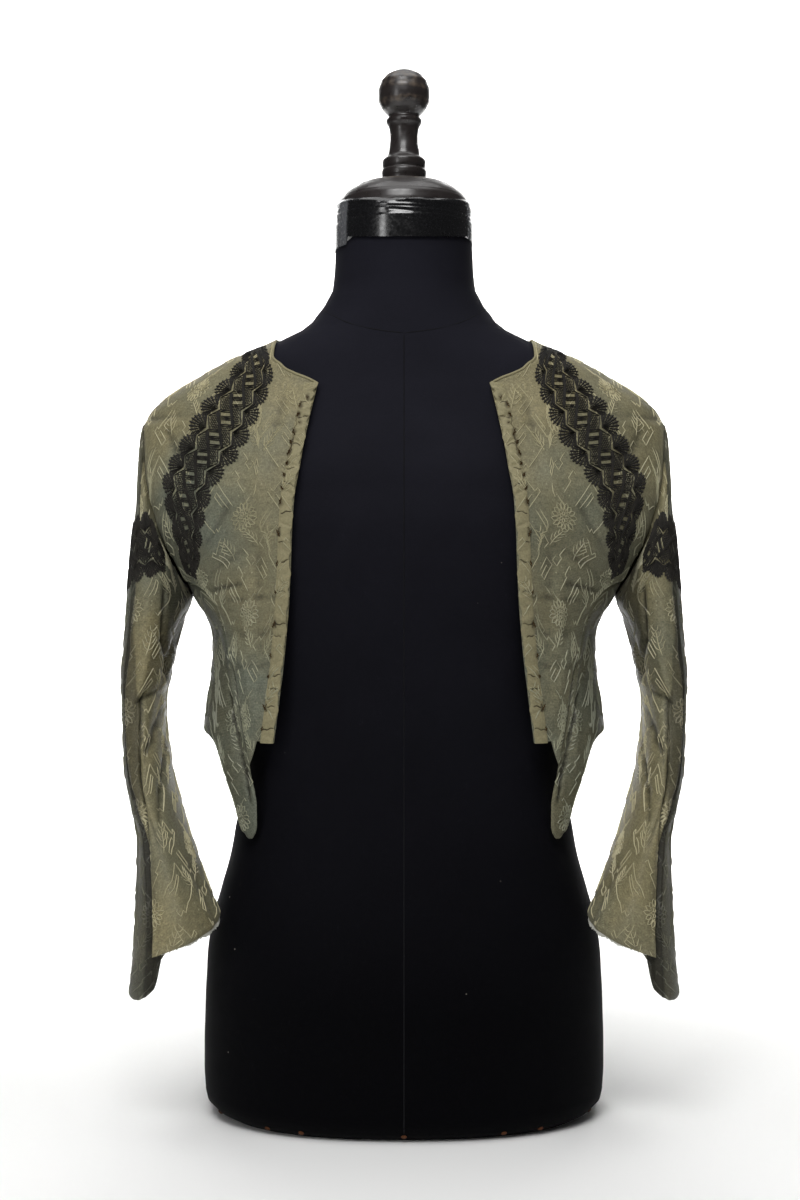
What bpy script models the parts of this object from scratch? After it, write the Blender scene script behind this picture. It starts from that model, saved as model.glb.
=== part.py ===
"""Open-front fitted jacket of figured silk with black lace, on a limbless dress form.

Metres, +Z up, the front faces -Y, the base of the form rests on z = 0. The wearer's left is at +X.
"""

import math

import bmesh
import bpy
import numpy as np

for old in list(bpy.data.objects):
    bpy.data.objects.remove(old, do_unlink=True)

# Driving sizes
CLOTH = 0.0015  # silk with its lining
STRIP = 0.0011  # folded placket strip
LACE = 0.0010  # heavy cotton lace
SEAM = 0.0003  # gap between neighbouring pieces
ARMHOLE_GAP = 0.0005
LIFT = 0.0008  # what lies on a panel clears its flat facets by this
PIPING_RADIUS = 0.0012
PLACKET_WIDTH = 0.0105
PLACKET_SHARES = (0.08, 0.50, 1.0)  # lines of points across the strip
NECK_TOP = 0.7385  # where the cloth of the form ends
BAND_TOP = 0.7710  # top edge of the tape
CAP_TOP = 0.7850
FORM_TURNS = 32  # points round the form
WOOD_TURNS = 18  # facets round the finial
CAP_TURNS = 26

# Armhole: its top at the shoulder tip and its lowest point under the arm
ARMHOLE_TOP = 0.5810
ARMHOLE_BOTTOM = 0.4350
SLEEVE_FRONT_SEAM = 45  # degrees round the sleeve from its outer side towards the front
UNDERARM_FRONT = 150  # where the seam of front and side panel meets the armhole
UNDERARM_BACK = 210  # where the seam of side panel and back meets it
FRONT_STEPS = 10
UNDERARM_STEPS = 8
SLEEVE_ROWS = 15
TONGUE_ROWS = 2

# Rows along the seams of the body
SEAM_ROWS = 8
TAIL_ROWS = 4
NECK_COLUMNS = 6
SHOULDER_COLUMNS = 5
HEM_COLUMNS = 8
NOTCH_COLUMNS = 3

# Lace
SCALLOP = 0.0030
SCALLOP_SHARE = 0.12  # a scallop is at most this share of the band's width
LACE_COLUMNS = (0.0, 0.24, 0.48, 0.70, 0.78)  # wide bar, opening, thin bar, opening along one repeat
LACE_OPEN = (2, 4)  # the columns with the openings
LACE_SHIFTS = (0.05, 0.0, -0.05, -0.02, 0.02)  # move of the openings across the band there
LACE_ROWS = (0.0, 0.22, 0.39, 0.61, 0.78, 1.0)  # fan, channel, openings, channel, fan across the band
LACE_LEANS = (0.0, 0.05, 0.10, -0.10, -0.05, 0.0)  # lean of those rows along the band, in repeats
LACE_WINDOW = 2  # the row with the openings
LACE_GAP = 0.0040  # openings smaller than this stay filled
LACE_CLEAR = 0.0040  # the sleeve lace stays this far below the armhole
RIDGE_CLEAR = 0.03  # and the shoulder lace this far in front of the shoulder seam, in radians

# Steps for measuring lines and slopes
FINE = 80
SLEEVE_FINE = 400
TURN_STEP = 0.004
HEIGHT_STEP = 0.0006
SECTION_STEP = 0.06
DEGREE_STEP = 1.5
FOLD_FADE = 0.3  # folds of the body fade out towards the side, over this sine of the turn
UPPER_SHARE = (1.5, 2.0)  # the upper sleeve leaves the armhole along the body's own direction


def table(names, *rows):
    """Named columns from rows of numbers."""
    return dict(zip(names.split(), np.array(rows, float).T))


# Dress form, one row per level
FORM = table(
    "height half_width front back square_front square_back",
    (0.0000, 0.1480, 0.0980, 0.1000, 2.3, 2.3),
    (0.0060, 0.1590, 0.1080, 0.1100, 2.3, 2.3),
    (0.0220, 0.1675, 0.1155, 0.1175, 2.3, 2.3),
    (0.0500, 0.1685, 0.1165, 0.1190, 2.3, 2.3),
    (0.0860, 0.1678, 0.1170, 0.1195, 2.3, 2.3),
    (0.1200, 0.1665, 0.1160, 0.1190, 2.3, 2.3),
    (0.1495, 0.1640, 0.1135, 0.1165, 2.3, 2.3),
    (0.1835, 0.1556, 0.1080, 0.1090, 2.3, 2.3),
    (0.2360, 0.1430, 0.1000, 0.0960, 2.3, 2.3),
    (0.2900, 0.1370, 0.0955, 0.0870, 2.3, 2.3),
    (0.3300, 0.1370, 0.0985, 0.0860, 2.3, 2.3),
    (0.3870, 0.1405, 0.1085, 0.0920, 2.3, 2.3),
    (0.4400, 0.1480, 0.1180, 0.1000, 2.4, 2.3),
    (0.4750, 0.1575, 0.1200, 0.1040, 2.4, 2.3),
    (0.5200, 0.1740, 0.1110, 0.1055, 2.3, 2.3),
    (0.5550, 0.1870, 0.0965, 0.1015, 2.2, 2.2),
    (0.5800, 0.1930, 0.0830, 0.0950, 2.2, 2.2),
    (0.5950, 0.1950, 0.0765, 0.0900, 2.1, 2.1),
    (0.6026, 0.1935, 0.0735, 0.0865, 2.1, 2.1),
    (0.6121, 0.1795, 0.0700, 0.0820, 2.1, 2.1),
    (0.6231, 0.1610, 0.0670, 0.0770, 2.1, 2.1),
    (0.6326, 0.1425, 0.0650, 0.0730, 2.1, 2.1),
    (0.6396, 0.1245, 0.0635, 0.0700, 2.1, 2.1),
    (0.6506, 0.1015, 0.0615, 0.0660, 2.1, 2.1),
    (0.6570, 0.0880, 0.0605, 0.0640, 2.1, 2.1),
    (0.6720, 0.0730, 0.0590, 0.0610, 2.0, 2.0),
    (0.6830, 0.0655, 0.0580, 0.0595, 2.0, 2.0),
    (0.6970, 0.0600, 0.0570, 0.0580, 2.0, 2.0),
    (0.7240, 0.0582, 0.0565, 0.0570, 2.0, 2.0),
    (NECK_TOP, 0.0575, 0.0565, 0.0565, 2.0, 2.0),
)
FORM_BETWEEN = (0.0130, 0.2630, 0.3600, 0.4150, 0.5000, 0.5400)

# Jacket body, outer face of the cloth; it lies on the form only along the shoulders
BODY = table(
    "height half_width front back square_front square_back",
    (0.2250, 0.1540, 0.1050, 0.1000, 2.2, 2.2),
    (0.2600, 0.1590, 0.1080, 0.1020, 2.2, 2.2),
    (0.3180, 0.1690, 0.1150, 0.1040, 2.2, 2.2),
    (0.3870, 0.1625, 0.1200, 0.1070, 2.2, 2.2),
    (0.4350, 0.1785, 0.1265, 0.1130, 2.1, 2.2),
    (0.4510, 0.1910, 0.1275, 0.1150, 2.0, 2.2),
    (0.4760, 0.2120, 0.1275, 0.1170, 1.9, 2.2),
    (0.5010, 0.2260, 0.1250, 0.1180, 1.9, 2.2),
    (0.5410, 0.2360, 0.1110, 0.1140, 1.9, 2.1),
    (0.5710, 0.2300, 0.0960, 0.1050, 2.0, 2.1),
    (0.5810, 0.2185, 0.0910, 0.1010, 2.1, 2.1),
    (0.5890, 0.2142, 0.0870, 0.0985, 2.1, 2.1),
    (0.5960, 0.2070, 0.0835, 0.0960, 2.1, 2.1),
    (0.6050, 0.1955, 0.0795, 0.0920, 2.1, 2.1),
    (0.6145, 0.1800, 0.0760, 0.0875, 2.1, 2.1),
    (0.6255, 0.1615, 0.0730, 0.0825, 2.1, 2.1),
    (0.6350, 0.1440, 0.0710, 0.0785, 2.1, 2.1),
    (0.6420, 0.1270, 0.0695, 0.0755, 2.1, 2.1),
    (0.6530, 0.1055, 0.0670, 0.0715, 2.1, 2.1),
    (0.6595, 0.0915, 0.0655, 0.0690, 2.1, 2.1),
    (0.6685, 0.0800, 0.0640, 0.0668, 2.0, 2.0),
    (0.6780, 0.0735, 0.0630, 0.0650, 2.0, 2.0),
)

# Outlines of the cut, seen from the front: distance from the middle and height
FRONT_EDGE = table(
    "x height",
    (0.1045, 0.3155),
    (0.0990, 0.3570),
    (0.0940, 0.4000),
    (0.0902, 0.4466),
    (0.0877, 0.5000),
    (0.0830, 0.5360),
    (0.0760, 0.5770),
    (0.0700, 0.6055),
)
FRONT_NECK = table(
    "x height",
    (0.0700, 0.6055),
    (0.0800, 0.6110),
    (0.0905, 0.6155),
    (0.1015, 0.6235),
    (0.1085, 0.6340),
)
NECK_POINT = 0.6470  # height where the neck edge meets the shoulder seam
FRONT_HEM = table("x height", (0.1045, 0.3155), (0.1120, 0.3165), (0.1190, 0.3165))
FRONT_NOTCH = table("x height", (0.1190, 0.3165), (0.1225, 0.3050), (0.1265, 0.2954))
SIDE_SEAM = table(
    "x height",
    (0.1265, 0.2954),
    (0.1335, 0.3150),
    (0.1380, 0.3417),
    (0.1437, 0.3740),
    (0.1475, 0.4000),
    (0.1520, 0.4185),
    (0.1605, 0.4325),
    (0.1720, 0.4410),
)
TAIL_FRONT = table(
    "x height",
    (0.1213, 0.2405),
    (0.1200, 0.2480),
    (0.1200, 0.2590),
    (0.1212, 0.2730),
    (0.1247, 0.2865),
    (0.1265, 0.2954),
)
TAIL_HEM = table(
    "x height",
    (0.1213, 0.2405),
    (0.1257, 0.2357),
    (0.1310, 0.2395),
    (0.1365, 0.2520),
    (0.1415, 0.2720),
    (0.1500, 0.2960),
    (0.1675, 0.3185),
)
BACK_SEAM = table(
    "x height",
    (0.1400, 0.3150),
    (0.1405, 0.3450),
    (0.1460, 0.3850),
    (0.1580, 0.4200),
    (0.1720, 0.4400),
)
ARMHOLE = table(
    "height x",
    (0.4350, 0.1785),
    (0.4390, 0.1800),
    (0.4510, 0.1865),
    (0.4650, 0.1935),
    (0.4760, 0.1990),
    (0.5010, 0.2070),
    (0.5175, 0.2110),
    (0.5410, 0.2150),
    (0.5650, 0.2170),
    (0.5810, 0.2190),
)
BACK_NECK_RISE = 0.0220  # the back neck stands higher than its ends at the shoulders
BACK_HEM_DIP = 0.0100  # and the back hem dips at the middle

# Sleeve, one row per slanted section from the armhole to below the cuff
SLEEVE = table(
    "outer_x outer_z inner_x inner_z middle_y depth bow",
    (0.2185, 0.5810, 0.1785, 0.4350, 0.0000, 0.0540, 0.011),
    (0.2228, 0.5530, 0.1790, 0.4325, 0.0000, 0.0570, 0.008),
    (0.2240, 0.5200, 0.1800, 0.4295, -0.0010, 0.0590, 0.005),
    (0.2283, 0.4820, 0.1820, 0.4250, -0.0020, 0.0605, 0.003),
    (0.2325, 0.4320, 0.1865, 0.4130, -0.0030, 0.0605, 0.001),
    (0.2358, 0.3880, 0.1935, 0.3860, -0.0050, 0.0590, 0.000),
    (0.2373, 0.3640, 0.1980, 0.3640, -0.0070, 0.0575, 0.000),
    (0.2355, 0.3430, 0.2010, 0.3430, -0.0110, 0.0565, 0.000),
    (0.2325, 0.2980, 0.1955, 0.3010, -0.0240, 0.0545, 0.000),
    (0.2255, 0.2660, 0.1850, 0.2640, -0.0380, 0.0520, 0.000),
    (0.2165, 0.2296, 0.1720, 0.2296, -0.0530, 0.0490, 0.000),
    (0.2155, 0.1976, 0.1565, 0.1930, -0.0670, 0.0460, 0.000),
    (0.2160, 0.1740, 0.1480, 0.1740, -0.0740, 0.0445, 0.000),
    (0.2175, 0.1550, 0.1430, 0.1570, -0.0750, 0.0440, 0.000),
    (0.2208, 0.1216, 0.1370, 0.1280, -0.0750, 0.0430, 0.000),
    (0.2225, 0.1000, 0.1340, 0.1100, -0.0750, 0.0430, 0.000),
)
BLEND_SECTIONS = 2.2  # over this many sections the armhole turns into the plain oval
CUFF = table(
    "turn height",
    (45, 0.1440),
    (90, 0.1550),
    (135, 0.1660),
    (180, 0.1735),
    (210, 0.1720),
    (405, 0.1440),
)
# The back half runs on below that line into a rounded tongue
TONGUE = table(
    "turn height",
    (210, 0.1695),
    (250, 0.1635),
    (270, 0.1580),
    (285, 0.1490),
    (300, 0.1340),
    (315, 0.1150),
    (330, 0.1080),
    (345, 0.1065),
    (360, 0.1075),
    (375, 0.1100),
    (390, 0.1155),
    (405, 0.1230),
)

# Largest folds of the body: two ends seen from the front, depth and half width
BODY_FOLDS = table(
    "x_top z_top x_low z_low depth spread",
    (0.1560, 0.4200, 0.1290, 0.2600, 0.0022, 0.0085),
    (0.1680, 0.4150, 0.1480, 0.3250, 0.0026, 0.0090),
)
# Largest folds of a sleeve: two ends as section number and turn, depth and half width
SLEEVE_FOLDS = table(
    "section_top turn_top section_low turn_low depth spread",
    (4.7, 75.0, 7.2, 95.0, 0.0035, 0.0110),
    (6.0, 130.0, 7.6, 60.0, 0.0030, 0.0090),
    (8.0, 110.0, 11.5, 140.0, 0.0028, 0.0130),
    (3.5, 250.0, 7.0, 300.0, 0.0030, 0.0120),
)

# Lace at the shoulder: both edges of the band seen from the front
LACE_OUTER = table(
    "x height",
    (0.1325, 0.6395),
    (0.1385, 0.6265),
    (0.1488, 0.6105),
    (0.1612, 0.5950),
    (0.1715, 0.5790),
    (0.1810, 0.5597),
    (0.1900, 0.5440),
    (0.1960, 0.5240),
    (0.1893, 0.4900),
    (0.1805, 0.4530),
)
LACE_INNER = table(
    "x height",
    (0.1215, 0.6410),
    (0.1095, 0.6120),
    (0.1140, 0.5940),
    (0.1230, 0.5760),
    (0.1330, 0.5570),
    (0.1436, 0.5410),
    (0.1560, 0.5225),
    (0.1605, 0.5030),
    (0.1640, 0.4770),
    (0.1700, 0.4470),
)
SHOULDER_LIFT = 0.0012  # the lace bridges the bend at the shoulder seam by this much more
SHOULDER_BEND = 0.25  # share of its length
RING_LIFT = 0.0010  # and the hollow of the sleeve's front by this
SHOULDER_REPEATS = 10
SLEEVE_REPEATS = 9
# Lace round the sleeve: height of its middle, by turn from armhole to armhole
LACE_RING = table(
    "turn height half_width",
    (-118, 0.4780, 0.0250),
    (-60, 0.4700, 0.0270),
    (0, 0.4640, 0.0280),
    (60, 0.4720, 0.0270),
    (118, 0.4780, 0.0250),
)

# Turned wood: radius and height up the profile
CAP_PROFILE = (
    (0.0000, 0.0000),
    (0.0560, 0.0000),
    (0.0568, 0.0015),
    (0.0550, 0.0035),
    (0.0500, 0.0050),
    (0.0440, 0.0085),
    (0.0360, 0.0115),
    (0.0200, 0.0135),
    (0.0000, 0.0137),
)
FINIAL_PROFILE = (
    (0.0000, 0.0000),
    (0.0176, 0.0000),
    (0.0180, 0.0035),
    (0.0191, 0.0075),
    (0.0176, 0.0105),
    (0.0183, 0.0145),
    (0.0176, 0.0185),
    (0.0142, 0.0215),
    (0.0119, 0.0370),
    (0.0135, 0.0470),
    (0.0152, 0.0515),
    (0.0132, 0.0550),
    (0.0170, 0.0600),
    (0.0216, 0.0690),
    (0.0219, 0.0760),
    (0.0185, 0.0860),
    (0.0110, 0.0925),
    (0.0000, 0.0950),
)
BAND_PROFILE = (
    (0.0000, 0.0000),
    (0.0572, 0.0000),
    (0.0578, 0.0030),
    (0.0572, 0.0160),
    (0.0566, 0.0319),
    (0.0000, 0.0319),
)


def smooth(at, knots, values):
    """Curve through a table's points that doesn't overshoot them."""
    steps = np.diff(knots)
    rises = np.diff(values) / steps
    slopes = np.concatenate([rises[:1], np.zeros(len(rises) - 1), rises[-1:]])
    same = np.flatnonzero(rises[:-1] * rises[1:] > 0)
    slopes[same + 1] = 2 * rises[same] * rises[same + 1] / (rises[same] + rises[same + 1])
    at = np.clip(at, knots[0], knots[-1])
    row = np.clip(np.searchsorted(knots, at) - 1, 0, len(steps) - 1)
    part = (at - knots[row]) / steps[row]
    low = values[row] + part * steps[row] * slopes[row]
    high = values[row + 1] - (1 - part) * steps[row] * slopes[row + 1]
    blend = part * part * (3 - 2 * part)
    return low * (1 - blend) + high * blend


def unit(vectors):
    """The same directions with length one."""
    return vectors / np.maximum(np.linalg.norm(vectors, axis=-1, keepdims=True), 1e-12)


def even(count):
    """Shares of a line cut into equal steps."""
    return np.linspace(0.0, 1.0, count + 1)


def near_line(points, start, end, spread):
    """How strongly a fold between two ends works at each point, fading at its ends."""
    way = end - start
    share = np.sum((points - start) * way, axis=-1) / np.dot(way, way)
    foot = start + np.clip(share, 0.0, 1.0)[..., None] * way
    off = np.linalg.norm(points - foot, axis=-1) / spread
    inside = np.clip(share, 0.0, 1.0)
    fade = np.clip(4.0 * inside * (1.0 - inside), 0.0, 1.0) ** 0.5
    return np.exp(-off * off) * fade


def oval(levels, turn, height):
    """Point of a level's rounded oval; turn 0 is the side, a quarter turn the front, below 0 the back."""
    half = smooth(height, levels["height"], levels["half_width"])
    ahead = np.sin(turn) >= 0
    depth = np.where(
        ahead,
        smooth(height, levels["height"], levels["front"]),
        smooth(height, levels["height"], levels["back"]),
    )
    square = np.where(
        ahead,
        smooth(height, levels["height"], levels["square_front"]),
        smooth(height, levels["height"], levels["square_back"]),
    )
    across = np.sign(np.cos(turn)) * np.abs(np.cos(turn)) ** (2 / square)
    along = np.sign(np.sin(turn)) * np.abs(np.sin(turn)) ** (2 / square)
    return np.stack([half * across, -depth * along, height + 0 * turn], axis=-1)


def turn_of(x, height, back=False):
    """Turn on the jacket body at a distance from the middle, less than 0 at the back."""
    half = smooth(height, BODY["height"], BODY["half_width"])
    square = smooth(height, BODY["height"], BODY["square_back" if back else "square_front"])
    turn = np.arccos(np.clip(np.abs(x) / half, 0.0, 1.0) ** (square / 2))
    turn = np.where(x < 0, math.pi - turn, turn)
    return -turn if back else turn


def normal_of(surface, first, second, step_first, step_second):
    """Outward direction of a surface with two coordinates."""
    one = surface(first + step_first, second) - surface(first - step_first, second)
    two = surface(first, second + step_second) - surface(first, second - step_second)
    return unit(np.cross(one, two))


def body_plain(turn, height):
    return oval(BODY, turn, height)


def spaced(line, shares, extra=()):
    """Points at these shares of an outline's length, measured on the body."""
    points = np.column_stack([line["x"], line["height"]])
    points = np.vstack([points, *extra])
    rows = np.concatenate([[0.0], np.cumsum(np.linalg.norm(np.diff(points, axis=0), axis=1))])
    fine = np.column_stack([smooth(even(FINE) * rows[-1], rows, points[:, k]) for k in (0, 1)])
    run = body_plain(turn_of(fine[:, 0], fine[:, 1]), fine[:, 1])
    length = np.concatenate([[0.0], np.cumsum(np.linalg.norm(np.diff(run, axis=0), axis=1))])
    return np.column_stack([np.interp(shares * length[-1], length, fine[:, k]) for k in (0, 1)])


def body_surface(turn, height):
    """Outer face of the jacket body with its folds, and its outward direction."""
    points = body_plain(turn, height)
    out = -normal_of(body_plain, turn, height, TURN_STEP, HEIGHT_STEP)
    seen = np.stack([np.abs(points[..., 0]), height + 0 * turn], axis=-1)
    sink = np.zeros(points.shape[:-1])
    for row in range(len(BODY_FOLDS["depth"])):
        start = np.array([BODY_FOLDS["x_top"][row], BODY_FOLDS["z_top"][row]])
        end = np.array([BODY_FOLDS["x_low"][row], BODY_FOLDS["z_low"][row]])
        sink += BODY_FOLDS["depth"][row] * near_line(seen, start, end, BODY_FOLDS["spread"][row])
    sink = sink * np.clip(np.sin(turn) / FOLD_FADE, 0.0, 1.0)
    return points - out * sink[..., None], out


def armhole_line(degrees):
    """Armhole seen from the front: 0 is the shoulder tip, 90 its front, 180 underarm, 270 its back."""
    angle = np.radians(np.asarray(degrees, float))
    middle = (ARMHOLE_TOP + ARMHOLE_BOTTOM) / 2
    height = middle + (ARMHOLE_TOP - ARMHOLE_BOTTOM) / 2 * np.cos(angle)
    half = smooth(height, BODY["height"], BODY["half_width"])
    return np.column_stack([np.minimum(smooth(height, ARMHOLE["height"], ARMHOLE["x"]), half), height])


def armhole_turns(degrees):
    """The same line as turn and height on the body."""
    line = armhole_line(degrees)
    front = turn_of(line[:, 0], line[:, 1])
    back = turn_of(line[:, 0], line[:, 1], back=True)
    ahead = np.sin(np.radians(np.asarray(degrees, float))) >= 0
    return np.column_stack([np.where(ahead, front, back), line[:, 1]])


def sleeve_plain(section, degrees):
    """Sleeve without folds: the armhole at section 0, slanted ovals below it."""
    section = np.clip(section, 0.0, len(SLEEVE["depth"]) - 1.0)
    rows = np.arange(len(SLEEVE["depth"]), dtype=float)
    at = {name: smooth(section, rows, column) for name, column in SLEEVE.items()}
    angle = np.radians(degrees)
    share = (1 + np.cos(angle)) / 2
    x = at["inner_x"] + (at["outer_x"] - at["inner_x"]) * share + at["bow"] * np.sin(angle) ** 2
    z = at["inner_z"] + (at["outer_z"] - at["inner_z"]) * share
    y = at["middle_y"] - at["depth"] * np.sin(angle)
    round_part = np.stack([x, y, z], axis=-1)
    hole = armhole_turns(np.ravel(degrees))
    seam = body_plain(hole[:, 0], hole[:, 1]).reshape(np.shape(degrees) + (3,))
    blend = np.clip(section / BLEND_SECTIONS, 0.0, 1.0)
    blend = (blend * blend * (3 - 2 * blend))[..., None]
    return seam * (1 - blend) + round_part * blend + (ARMHOLE_GAP, 0.0, 0.0)


def sleeve_surface(section, degrees):
    """Outer face of a sleeve with its folds, and its outward direction."""
    points = sleeve_plain(section, degrees)
    low = sleeve_plain(np.maximum(section - SECTION_STEP, 0.0), degrees)
    high = sleeve_plain(section + SECTION_STEP, degrees)
    before = sleeve_plain(section, degrees - DEGREE_STEP)
    after = sleeve_plain(section, degrees + DEGREE_STEP)
    out = unit(np.cross(after - before, high - low))
    hole = armhole_turns(np.ravel(degrees))
    seam_out = -normal_of(body_plain, hole[:, 0], hole[:, 1], TURN_STEP, HEIGHT_STEP)
    upper = np.clip(UPPER_SHARE[0] + UPPER_SHARE[1] * np.cos(np.radians(degrees)), 0.0, 1.0)
    keep = (np.clip(1.0 - section, 0.0, 1.0) * upper)[..., None]
    out = unit(out * (1 - keep) + seam_out.reshape(out.shape) * keep)
    sink = np.zeros(points.shape[:-1])
    for row in range(len(SLEEVE_FOLDS["depth"])):
        start = sleeve_plain(SLEEVE_FOLDS["section_top"][row], SLEEVE_FOLDS["turn_top"][row])
        end = sleeve_plain(SLEEVE_FOLDS["section_low"][row], SLEEVE_FOLDS["turn_low"][row])
        sink += SLEEVE_FOLDS["depth"][row] * near_line(points, start, end, SLEEVE_FOLDS["spread"][row])
    return points - out * sink[..., None], out


def section_at(degrees, height):
    """Section number where a sleeve line at this turn passes a height."""
    sections = np.linspace(0.0, len(SLEEVE["depth"]) - 1.0, SLEEVE_FINE)
    found = []
    for turn, wanted in zip(np.ravel(degrees), np.ravel(height)):
        heights = sleeve_plain(sections, np.full(len(sections), turn))[:, 2]
        found.append(np.interp(-wanted, -heights, sections))
    return np.array(found).reshape(np.shape(degrees))


def patch(bottom, top, inner, outer, shares):
    """Fill between four border lines that meet at the corners, with rows at these shares of the height."""
    u = even(len(bottom) - 1)[:, None, None]
    v = shares[None, :, None]
    rows = (1 - v) * bottom[:, None] + v * top[:, None]
    lines = (1 - u) * inner[None] + u * outer[None]
    low = (1 - u) * bottom[0] + u * bottom[-1]
    high = (1 - u) * top[0] + u * top[-1]
    return rows + lines - (1 - v) * low - v * high


def drawn_in(edge, within, gap):
    """An edge moved square to itself towards the next line of points."""
    along = unit(np.gradient(edge, axis=0))
    way = within - edge
    return edge + gap * unit(way - along * np.sum(way * along, axis=-1, keepdims=True))


def inset(points, gap):
    """Draw a panel's border in by half a seam."""
    moved = points.copy()
    moved[0] = drawn_in(points[0], points[1], gap)
    moved[-1] = drawn_in(points[-1], points[-2], gap)
    moved[:, 0] += drawn_in(points[:, 0], points[:, 1], gap) - points[:, 0]
    moved[:, -1] += drawn_in(points[:, -1], points[:, -2], gap) - points[:, -1]
    return moved


# Materials of the real surfaces: colour, roughness, metallic
def finish(name, colour, roughness, metallic=0.0):
    material = bpy.data.materials.new(name)
    material.use_nodes = True
    shader = material.node_tree.nodes["Principled BSDF"]
    shader.inputs["Base Color"].default_value = (*colour, 1.0)
    shader.inputs["Roughness"].default_value = roughness
    shader.inputs["Metallic"].default_value = metallic
    material.diffuse_color = (*colour, 1.0)
    return material


SILK = finish("olive figured silk", (0.125, 0.122, 0.075), 0.62)
SILK_STRIP = finish("olive silk strip", (0.140, 0.128, 0.078), 0.66)
BLACK_LACE = finish("black cotton lace", (0.008, 0.008, 0.008), 0.75)
BLACK_CLOTH = finish("black cotton cover", (0.006, 0.006, 0.007), 0.82)
BLACK_TAPE = finish("black glossy tape", (0.005, 0.005, 0.005), 0.22)
BLACK_WOOD = finish("black lacquered wood", (0.010, 0.008, 0.007), 0.30)

parts = bpy.data.collections.new("open_front_jacket_on_form")
bpy.context.scene.collection.children.link(parts)


def add(name, points, faces, material):
    """One named object, its faces turned outwards."""
    mesh = bpy.data.meshes.new(name)
    mesh.from_pydata([tuple(point) for point in points], [], faces)
    shape = bmesh.new()
    shape.from_mesh(mesh)
    if shape.calc_volume(signed=True) < 0:
        bmesh.ops.reverse_faces(shape, faces=shape.faces)
    shape.to_mesh(mesh)
    shape.free()
    mesh.materials.append(material)
    thing = bpy.data.objects.new(name, mesh)
    parts.objects.link(thing)
    return thing


def wall(name, front, back, material, side, filled=None):
    """Cloth wall between two grids of points, with rims at its border and round each opening."""
    columns, rows = front.shape[0] - 1, front.shape[1] - 1
    if filled is None:
        filled = np.ones((columns, rows), bool)
    points = np.concatenate([front.reshape(-1, 3), back.reshape(-1, 3)]) * (side, 1, 1)
    depth = (columns + 1) * (rows + 1)

    def is_filled(i, j):
        return 0 <= i < columns and 0 <= j < rows and filled[i, j]

    def number(i, j):
        return i * (rows + 1) + j

    faces = []
    for i, j in np.argwhere(filled):
        corners = [number(i, j), number(i + 1, j), number(i + 1, j + 1), number(i, j + 1)]
        faces.append(corners)
        faces.append([corner + depth for corner in reversed(corners)])
        beside = ((i, j - 1), (i + 1, j), (i, j + 1), (i - 1, j))
        for edge, other in enumerate(beside):
            if not is_filled(*other):
                a, b = corners[edge], corners[(edge + 1) % 4]
                faces.append([b, a, a + depth, b + depth])
    used = sorted({corner for face in faces for corner in face})
    place = {corner: number for number, corner in enumerate(used)}
    faces = [[place[corner] for corner in face] for face in faces]
    return add(name, points[used], faces, material)


def cloth(name, points, out, material, side):
    """Panel of cloth, its outer face on the surface, drawn in at the seams."""
    front = inset(points, SEAM / 2)
    back = inset(points - out * CLOTH, SEAM / 2)
    return wall(name, front, back, material, side)


def on_body(outline, back=False):
    """Outline rows as turn and height on the body."""
    return np.column_stack([turn_of(outline[:, 0], outline[:, 1], back), outline[:, 1]])


# Border lines of the body panels, seen from the front as distance from the middle and height
front_turns = np.linspace(0, UNDERARM_FRONT, FRONT_STEPS + 1)
under_turns = np.linspace(UNDERARM_FRONT, UNDERARM_BACK, UNDERARM_STEPS + 1)
back_turns = np.linspace(UNDERARM_BACK, 360, FRONT_STEPS + 1)
front_hole = armhole_line(front_turns[::-1])
back_hole = armhole_line(back_turns)
side_seam = spaced(SIDE_SEAM, even(SEAM_ROWS), (front_hole[:1],))
neck_end = np.array([[smooth(NECK_POINT, BODY["height"], BODY["half_width"]), NECK_POINT]])
front_neck = spaced(FRONT_NECK, even(NECK_COLUMNS), (neck_end,))
ridge = np.linspace(NECK_POINT, ARMHOLE_TOP, SHOULDER_COLUMNS + 1)
shoulder = np.column_stack([smooth(ridge, BODY["height"], BODY["half_width"]), ridge])
front_hem = spaced(FRONT_HEM, even(HEM_COLUMNS))
front_notch = spaced(FRONT_NOTCH, even(NOTCH_COLUMNS))

# Fronts; their rows crowd towards the shoulder seam, where the cloth turns over the shoulder
front_outer = np.vstack([side_seam[:-1], front_hole])
front_rows = (front_outer[:, 1] - front_outer[0, 1]) / np.ptp(front_outer[:, 1])
front_grid = patch(
    np.vstack([front_hem[:-1], front_notch]),
    np.vstack([front_neck[:-1], shoulder]),
    spaced(FRONT_EDGE, front_rows),
    front_outer,
    front_rows,
)
front_points, front_out = body_surface(
    turn_of(front_grid[..., 0], front_grid[..., 1]), front_grid[..., 1]
)

# Side panels, each with its tail, laid out by turn round the body
tail_front = spaced(TAIL_FRONT, even(TAIL_ROWS))
side_front = np.vstack([tail_front[:-1], side_seam])
back_seam = spaced(BACK_SEAM, even(len(side_front) - 1), (back_hole[:1],))
tail_hem = on_body(np.column_stack([TAIL_HEM["x"], TAIL_HEM["height"]]))
side_back = on_body(back_seam, back=True)
hip = np.linspace(tail_hem[-1], side_back[0], UNDERARM_STEPS + 2 - len(tail_hem))
side_grid = patch(
    np.vstack([tail_hem[:-1], hip]),
    armhole_turns(under_turns),
    on_body(side_front),
    side_back,
    even(len(side_front) - 1),
)
side_points, side_out = body_surface(side_grid[..., 0], side_grid[..., 1])

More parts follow.
